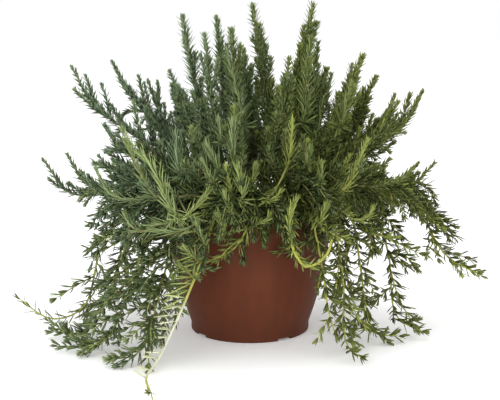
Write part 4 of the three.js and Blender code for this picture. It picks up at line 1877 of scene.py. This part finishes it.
    def build(self, leaf: Material, bark: Material) -> Piece:
        """Grows the stem and gives it its finishes.

        Args:
            leaf: The material of its leaves.
            bark: The material of its stem.

        Returns:
            The finished piece.
        """
        habit, rng, patterns, path = self.habit, self.rng, self.patterns, self.path()
        stem = self.stem_twig(path)
        rooted = Course(np.vstack([path[:1] - UP * self.buried, path]), self.stem_steps)
        fresh = np.maximum(np.interp(stem.marks, (0, 0.7, 1), habit.bark), stem.accent.freshness)
        self.foliage.rod(patterns.stem, stem, rooted, fresh, rng.uniform(0.3, 0.7))
        self.dress(stem)
        grown = self.shoots(stem) + self.skirt_shoots(stem)
        grown += [self.grow_sprig(stem, sprig) for sprig in self.plan.sprigs]
        for shoot in grown:
            fresh = np.maximum(np.maximum(habit.bark, 0.25), shoot.freshness)
            self.foliage.rod(patterns.shoot, shoot, shoot.course, fresh, rng.uniform(0.3, 0.8))
            self.dress(shoot)
        piece = self.foliage.to_object(f"{self.name}_fine")
        piece.data.materials.append(leaf)
        piece.data.materials.append(bark)
        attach(piece, "root")
        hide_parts(self.name)
        return piece


# The plant


STEMS: dict[str, Plan] = {
    "spire_left_1": Plan(((-36, 2), (-58, 0, 262), (-80, 0, 378)), 0.6),
    "spire_left_2": Plan(((-27, -17), (-42, -20, 255), (-53, -22, 357)), 0.7),
    "spire_left_3": Plan(((-20, 20), (-28, 22, 260), (-40, 20, 377)), 0.8),
    "spire_left_4": Plan(
        ((-10, -6), (-15, -8, 250), (-22, -10, 363)), 0.7,
        sprigs=(rib(((-7, -46, 255), (-14, -40, 286), (-22, -32, 318), (-30, -24, 349))),),
    ),
    "spire_middle": Plan(
        ((19, 22), (22, 24, 265), (3, 20, 392)), 1.1,
        sprigs=(filler(((12, 26, 245), (7, 28, 306))), filler(((26, 26, 240), (30, 28, 290)))),
    ),
    "spire_right_1": Plan(
        ((21, 0), (52, -2, 260), (74, 0, 392)), 2.2,
        sprigs=(
            rib(((64, -34, 257), (65, -28, 291), (69, -20, 328), (73, -12, 363))),
            filler(((73, -6, 276), (83, -4, 330))),
            filler(((81, 4, 270), (92, 6, 313))),
        ),
    ),
    "spire_right_2": Plan(
        ((33, 14), (68, 18, 236), (92, 14, 316)), 2.7,
        sprigs=(
            filler(((72, 6, 280), (82, 4, 355))),
            filler(((88, 2, 262), (98, 0, 318))),
            filler(((62, 4, 255), (66, 2, 300))),
        ),
    ),
    "spire_right_3": Plan(((10, -22), (34, -26, 240), (46, -24, 330)), 1.6),
    "spire_right_4": Plan(
        ((38, -10), (96, -12, 240), (134, 0, 333)), 1.9,
        sprigs=(
            filler(((78, -14, 222), (88, -16, 292))),
            rib(((105, -46, 255), (113, -38, 285), (120, -28, 310))),
        ),
    ),
    "spire_right_5": Plan(
        ((44, 30), (112, 34, 225), (153, 24, 306)), 1.5, sprigs=(filler(((98, 20, 236), (95, 20, 280))),)
    ),
    "spire_back_1": Plan(((2, 44), (0, 62, 240), (-8, 70, 338)), 1.6),
    "spire_back_2": Plan(((30, 48), (50, 76, 235), (66, 92, 318)), 1.7),
    "spire_back_3": Plan(
        ((-26, 44), (-70, 70, 232), (-102, 84, 310)), 1.1,
        sprigs=(
            filler(((-83, 70, 240), (-98, 78, 290))),
            filler(((-72, 62, 246), (-86, 66, 293))),
            filler(((-80, 72, 246), (-94, 80, 276))),
        ),
    ),
    "spire_back_4": Plan(
        ((-34, 28), (-62, 38, 222), (-90, 46, 294)), 1.3,
        sprigs=(filler(((-65, 60, 243), (-74, 62, 277))),),
    ),
    "spire_front_1": Plan(
        ((-12, -30), (-16, -52, 215), (-18, -60, 275)), accent=Accent((0.1, 0.3, 0.5), leaf=1.1),
        sprigs=(
            sprig(((-32, -95, 240), (-36, -90, 268)), 0.45, warmth=0.0),
            sprig(((-19, -104, 222), (-19, -96, 268)), 0.55, 21, warmth=-0.1, lean=20),
            sprig(((2, -124, 199), (8, -116, 220)), 0.45),
        ),
    ),
    "spire_front_2": Plan(
        ((-38, -30), (-54, -54, 205), (-66, -62, 252)), accent=Accent((0.1, 0.3, 0.4), leaf=1.1),
        sprigs=(
            sprig(((-34, -122, 210), (-50, -112, 243)), 0.55, 22, warmth=0.0),
            sprig(((-41, -132, 198), (-53, -126, 226)), 0.65, 20, warmth=0.05),
            sprig(((-76, -128, 208), (-82, -116, 256)), 0.35, 22, warmth=-0.1),
        ),
    ),
    "spire_front_3": Plan(
        ((36, -26), (66, -62, 188), (80, -80, 214)), skirt=Skirt(5), accent=Accent((0.1, 0.3, 0.4)),
        sprigs=(
            sprig(((75, -140, 155), (84, -146, 181)), 0.65, 19, warmth=0.1),
            sprig(((77, -128, 199), (78, -128, 223)), 0.35, 17, warmth=0.0),
        ),
    ),
    "spire_front_4": Plan(
        ((25, -14), (52, -48, 196), (66, -60, 236)), accent=Accent((0.1, 0.3, 0.4)),
        sprigs=(sprig(((63, -118, 217), (66, -112, 240)), 0.22, 17, warmth=0.0),),
    ),
    "arch_left_1": Plan(((-48, 14), (-130, 18, 228), (-188, 22, 270), (-216, 24, 318)), 1.7),
    "arch_left_2": Plan(((-46, 32), (-112, 48, 240), (-150, 56, 285), (-172, 60, 323)), 2.3),
    "arch_left_3": Plan(((-42, 52), (-104, 80, 232), (-131, 90, 299)), 2.2),
    "arch_left_4": Plan(
        ((-52, -6), (-118, -12, 205), (-152, -18, 222), (-172, -20, 252)), 1.3,
        Skirt(8, (100, 170), (30, 60), (0.1, 0.9)),
    ),
    "arch_left_5": Plan(((-64, 4), (-126, 2, 178), (-215, 2, 166), (-250, 0, 208)), 0.8),
    "arch_left_6": Plan(((-60, 26), (-124, 44, 186), (-205, 62, 168), (-232, 66, 206)), 0.8),
    "arch_left_7": Plan(
        ((-52, -32), (-108, -68, 190), (-165, -88, 178), (-190, -92, 206)), 1.3, Skirt(6),
        sprigs=(
            sprig(
                ((-105, -118, 182), (-137, -126, 178), (-155, -124, 188), (-173, -114, 218)), 0.6, 19,
                warmth=0.05, tip_zone=60 * MM, tip_size=0.6, lift=0.3,
            ),
        ),
    ),
    "arch_right_1": Plan(
        ((54, 14), (120, 18, 216), (164, 30, 248), (178, 36, 284)), 2.5,
        sprigs=(filler(((148, 24, 226), (176, 20, 244)), 15),),
    ),
    "arch_right_2": Plan(((54, -8), (120, -10, 205), (180, -4, 246), (206, 0, 290)), 1.2),
    "arch_right_3": Plan(
        ((60, 34), (120, 62, 196), (158, 78, 215), (172, 84, 250)), 3.0,
        sprigs=(filler(((160, 70, 205), (190, 66, 226)), 15),),
    ),
    "arch_right_4": Plan(
        ((52, -34), (106, -78, 188), (160, -94, 188), (188, -96, 216)), 1.0,
        Skirt(18, (110, 185), (30, 62), (0.8, 1.8)),
    ),
    "arch_right_5": Plan(
        ((70, 4), (128, 6, 182), (196, 12, 176), (226, 14, 202)), 0.9,
        Skirt(22, (110, 188), (30, 64), (0.6, 1.8)),
    ),
    "arch_right_6": Plan(((52, -20), (104, -34, 200), (144, -34, 232), (162, -26, 270)), 2.3),
    "arch_back_1": Plan(((-20, 64), (-42, 120, 205), (-58, 160, 232), (-62, 178, 270))),
    "arch_back_2": Plan(((14, 66), (26, 124, 200), (40, 176, 222), (46, 198, 262))),
    "arch_back_3": Plan(((46, 56), (92, 112, 196), (122, 150, 212), (132, 166, 246))),
    "arch_front_1": Plan(
        ((26, -36), (38, -78, 196), (44, -106, 224), (46, -116, 264)), 1.1, Skirt(11, length=(55, 90)),
        accent=Accent((0.2, 0.6, 0.7), lean=0.6, width=0.7, leaf=1.3),
        sprigs=(sprig(((16, -140, 180), (27, -144, 184), (36, -146, 196)), 0.55, 14),),
    ),
    # some sprigs here pass the painted glare range of freshness: painted glare for strong backlight
    "arch_front_2": Plan(
        ((-26, -44), (-62, -112, 182), (-100, -138, 184), (-134, -140, 246)), 0.6, Skirt(8, length=(55, 100)),
        accent=Accent((0.1, 0.2, 0.3)),
        sprigs=(
            sprig(
                ((-76, -142, 160), (-86, -144, 174), (-104, -134, 214), (-126, -124, 234), (-146, -108, 262)),
                (2.0, 1.5, 0.7), 24, warmth=0.0, lean=34, tip_zone=100 * MM, tip_size=0.5, pitch=5.2 * MM,
                lift=0.3, radii=(1.8 * MM, 0.8 * MM),
            ),
            sprig(
                ((-76, -142, 160), (-56, -142, 176), (-44, -136, 192), (-37, -128, 207)), (1.9, 1.1, 0.5), 19,
                tip_zone=60 * MM, tip_size=0.6, lift=0.3, radii=(1.6 * MM, 0.8 * MM),
            ),
            sprig(
                (
                    (-84, -144, 159), (-101, -146, 155), (-117, -142, 146), (-129, -138, 153),
                    (-140, -132, 168),
                ),
                (1.3, 0.8, 0.6), 18, warmth=0.0, lift=0.2,
            ),
            sprig(
                ((-58, -150, 158), (-76, -156, 150), (-96, -154, 149), (-111, -150, 153)), 0.55, 20,
                warmth=0.0,
            ),
        ),
    ),
    "arch_front_3": Plan(
        ((-4, -42), (-8, -92, 186), (-18, -124, 180), (-26, -136, 218)), skirt=Skirt(13, length=(55, 100)),
        accent=Accent((0.1, 0.5, 0.7)),
        sprigs=(
            sprig(((-8, -144, 182), (-15, -134, 224)), 0.8, 24, warmth=0.05),
            sprig(((-20, -150, 166), (-29, -150, 195)), 0.65, 18, warmth=0.1),
        ),
    ),
    "arch_front_4": Plan(
        ((42, -44), (72, -96, 180), (104, -116, 190), (128, -118, 244)), skirt=Skirt(3),
        accent=Accent((0.2, 0.6, 0.6), lean=0.6, width=0.7),
    ),
    # its freshness passes the painted glare range: the pale comb is painted glare for strong backlight
    "trail_front_left": Plan(
        ((-24, -62), (-36, -112, 168), (-60, -134, 96), (-98, -160, 12), (-108, -208, 6), (-98, -262, 7)),
        0.3, Skirt(1),
        accent=Accent(
            (0.4, 0.8, 1.1, 1.95, 2.0, 1.3, 0.3), (0.0, 0.21, 0.47, 0.6, 0.8, 0.9, 1.0), leaf=1.95, width=0.9,
            lean=0.9, pitch=1.05, tuft=0, comb=(-1.0, -0.5, 0.5), twist=50, shoots_to=0.42, sparse_from=0.71,
            tip_radius=1.1 * MM,
        ),
        sprigs=(
            filler(((-80, -118, 138), (-83, -122, 109))),
            filler(((-68, -126, 137), (-66, -130, 106))),
            filler(((-55, -134, 136), (-47, -138, 110))),
            filler(((-75, -120, 115), (-78, -124, 84))),
            filler(((-62, -130, 111), (-56, -132, 86))),
            sprig(((-28, -150, 147), (-36, -156, 173)), 0.7, 18, warmth=0.1),
            sprig(((-50, -158, 141), (-58, -166, 165)), 0.45, 17, warmth=0.0),
            sprig(((-60, -156, 122), (-75, -164, 136)), 0.7, 18, warmth=0.1, lean=40),
            sprig(((-62, -154, 100), (-80, -160, 116)), 0.6, 18, warmth=0.1, lean=36),
        ),
    ),
    "trail_front_middle": Plan(
        ((2, -66), (4, -116, 166), (-16, -132, 128), (-44, -130, 112)), 0.6, Skirt(9, length=(50, 85)),
        accent=Accent((0.3, 0.9, 0.7), sparse_from=0.75),
        sprigs=(sprig(((9, -146, 157), (17, -150, 160), (23, -152, 173)), 0.6, 15),),
    ),
    # its tip passes the painted glare range of freshness: painted glare for strong backlight
    "trail_front_curl": Plan(
        ((28, -60), (44, -112, 164), (47, -128, 126), (62, -132, 106), (84, -128, 118), (92, -124, 146)), 0.4,
        Skirt(3), accent=Accent((0.3, 1.2, 1.3), leaf=0.85, sparse_from=0.78, tip_radius=1.4 * MM),
        sprigs=(
            sprig(((46, -140, 136), (42, -150, 156), (45, -152, 174), (52, -148, 189)), (1.2, 1.0, 0.7), 15),
        ),
    ),
    "trail_left_1": Plan(
        ((-50, -48), (-98, -84, 164), (-130, -104, 92), (-166, -112, 14), (-222, -108, 8)), 2.0,
        Skirt(8, (70, 150)),
    ),
    "trail_left_2": Plan(
        ((-66, -32), (-124, -56, 160), (-156, -66, 84), (-190, -62, 14), (-240, -50, 8)), 1.3,
        Skirt(5, (90, 150)),
    ),
    "trail_left_3": Plan(
        ((-76, -16), (-134, -26, 166), (-176, -32, 110), (-200, -34, 34), (-240, -30, 18), (-284, -22, 44)),
        skirt=Skirt(4, (90, 150)), accent=Accent(leaf=0.9, lean=0.9, shoots_to=0.7, tuft=0),
    ),
    "trail_left_4": Plan(((-78, 16), (-134, 24, 164), (-160, 28, 96), (-178, 34, 22), (-214, 52, 9)), 1.5),
    "trail_left_5": Plan(
        ((-44, -58), (-78, -104, 158), (-98, -128, 84), (-122, -152, 14), (-154, -156, 8)), 1.8,
        Skirt(20, (70, 180), (35, 75), (0.2, 1.0), 1.3),
        sprigs=(
            hanging_shoot(((-92, -118, 78), (-84, -108, 54), (-86, -108, 28)), 0.12),
            hanging_shoot(((-98, -122, 62), (-96, -114, 38), (-100, -116, 12)), 0.16),
            hanging_shoot(((-104, -132, 50), (-112, -128, 28), (-124, -130, 12)), 0.1),
            hanging_shoot(((-96, -124, 84), (-80, -104, 74), (-74, -98, 52)), 0.2),
        ),
    ),
    "trail_right_1": Plan(((56, -54), (88, -96, 164), (104, -112, 88), (108, -126, 16), (124, -152, 7)), 1.2),
    "trail_right_2": Plan(
        ((68, -36), (112, -64, 162), (128, -76, 90), (140, -78, 18), (178, -70, 8)), 1.1,
        Skirt(14, (90, 140), (28, 58), (0.1, 0.9)),
    ),
    "trail_right_3": Plan(
        ((76, -16), (136, -26, 168), (164, -34, 104), (176, -44, 24), (208, -58, 9)), 1.4,
        Skirt(10, (100, 170), (30, 60), (0.4, 1.2)),
    ),
    "trail_right_4": Plan(
        ((80, 20), (150, 30, 176), (206, 28, 146), (242, 14, 88), (288, 2, 62)), 1.4,
        Skirt(30, (120, 220), (30, 60), (0.6, 1.8)),
    ),
    "trail_right_5": Plan(((66, 50), (112, 86, 158), (126, 98, 84), (134, 112, 12), (152, 154, 8))),
    "trail_right_6": Plan(
        ((44, -68), (66, -106, 162), (80, -118, 104), (88, -120, 52), (97, -124, 22)), 1.2, Skirt(4),
        sprigs=(
            sprig(
                ((102, -120, 166), (113, -126, 157), (128, -128, 160), (136, -124, 174)), 0.6, 16, warmth=0.1
            ),
        ),
    ),
    "trail_back_1": Plan(((40, 76), (62, 120, 162), (72, 140, 92), (78, 158, 14), (98, 210, 7))),
    "trail_back_2": Plan(((-2, 84), (-4, 134, 164), (-6, 154, 92), (-4, 172, 14), (-18, 222, 7))),
    "trail_back_3": Plan(((-44, 74), (-70, 118, 162), (-84, 138, 90), (-94, 160, 14), (-120, 206, 7))),
    "trail_back_4": Plan(((-70, 46), (-120, 78, 162), (-140, 92, 88), (-152, 106, 14), (-190, 130, 7))),
}


@dataclass
class Plant:
    """The whole rosemary: every stem by name, with its plan. Each stem has a seed of its own."""

    pot: Pot
    soil: Soil
    first_seed: int = 500
    stems: dict[str, Plan] = field(default_factory=STEMS.copy)

    def feet(self) -> list[Span]:
        """Where the stems stand in the soil, in metres."""
        return [(plan.path[0][0] * MM, plan.path[0][1] * MM) for plan in self.stems.values()]

    def build(self) -> list[Piece]:
        """Grows every stem.

        Returns:
            The finished pieces.
        """
        patterns = Patterns.model()
        surroundings = Surroundings(self.pot, self.soil)
        leaf, bark = LeafFinish().material(), BarkFinish().material()
        made = []
        for seed, (name, plan) in enumerate(self.stems.items(), self.first_seed):
            stem = LeafyStem(name, plan, seed, patterns, surroundings)
            piece = stem.build(leaf, bark)
            LOG.info("%s: %d triangles, %d copies", piece.name, len(piece.data.polygons), stem.foliage.cells)
            made.append(piece)
        return made


# The studio


@dataclass(frozen=True)
class Light:
    """One soft square light: where it hangs, the length of its side, its power in watts and its colour."""

    name: str
    place: Triple
    size: float
    watts: float
    tint: Colour = (1.0, 1.0, 1.0)


@dataclass
class Studio:
    """The pale floor, the soft lights and the camera at the photograph's viewing angle."""

    camera_place: Triple = (0.0, -1.248, 0.363)
    pitch: float = 9.3
    lens: float = 74.9
    sensor: float = 36.0
    clip: Span = (0.05, 200.0)
    floor_size: float = 60.0
    floor_height: float = -0.2 * MM
    sky: Colour = (1.0, 1.0, 1.0)
    sky_strength: float = 1.0
    aim: Triple = (0.0, 0.0, 0.18)
    lights: tuple[Light, ...] = (
        Light("key_left", (-1.6, -1.6, 1.3), 1.4, 16.0, (0.97, 0.99, 1.0)),
        Light("front", (-0.3, -2.3, 0.8), 1.6, 9.0),
        Light("fill_right", (1.7, -1.0, 1.0), 1.4, 3.0, (1.0, 0.98, 0.95)),
        Light("top", (0.2, 0.3, 2.4), 1.6, 10.0),
    )
    finish: FloorFinish = field(default_factory=FloorFinish)

    def floor(self) -> None:
        """Lays the floor just under the object."""
        clear_selection()
        bpy.ops.mesh.primitive_plane_add(size=self.floor_size, location=(0, 0, self.floor_height))
        floor = take_added("studio_floor")
        floor.data.materials.append(self.finish.material())

    def hang(self, light: Light) -> None:
        """Hangs one light, which points at the middle of the plant.

        Args:
            light: The light.
        """
        lamp = bpy.data.lights.new(light.name, "AREA")
        lamp.shape = "SQUARE"
        lamp.size = light.size
        lamp.energy = light.watts
        lamp.color = light.tint
        holder = bpy.data.objects.new(light.name, lamp)
        bpy.context.scene.collection.objects.link(holder)
        holder.location = light.place
        x, y, z = np.array(self.aim) - np.array(light.place)
        rise, heading = math.atan2(z, math.hypot(x, y)), math.atan2(y, x)
        holder.rotation_euler = (math.pi / 2 + rise, 0.0, heading - math.pi / 2)

    def camera(self) -> None:
        """Sets up the camera, which looks along Y and down by its pitch."""
        data = bpy.data.cameras.new("camera")
        data.lens = self.lens
        data.sensor_width = self.sensor
        data.clip_start, data.clip_end = self.clip
        camera = bpy.data.objects.new("camera", data)
        bpy.context.scene.collection.objects.link(camera)
        camera.location = self.camera_place
        camera.rotation_euler = (math.radians(90 - self.pitch), 0.0, 0.0)
        bpy.context.scene.camera = camera

    def build(self) -> None:
        """Sets up the floor, the sky, the lights and the camera."""
        self.floor()
        world = bpy.data.worlds.new("studio_sky")
        world.use_nodes = True
        background = world.node_tree.nodes["Background"]
        background.inputs["Color"].default_value = (*self.sky, 1.0)
        background.inputs["Strength"].default_value = self.sky_strength
        bpy.context.scene.world = world
        for light in self.lights:
            self.hang(light)
        self.camera()
        bpy.context.scene.view_settings.view_transform = "Standard"


def main() -> None:
    """Builds the pot, the soil, the plant and the studio."""
    logging.basicConfig(level=logging.INFO, format="%(message)s")
    pot = Pot()
    soil = Soil(pot)
    plant = Plant(pot, soil)
    for piece in (pot.build(), soil.build(plant.feet())):
        LOG.info("%s: %d faces", piece.name, len(piece.data.polygons))
    pieces = plant.build()
    LOG.info("%d stems, %d triangles in all", len(pieces), sum(len(p.data.polygons) for p in pieces))
    Studio().build()


if __name__ == "__main__":
    main()
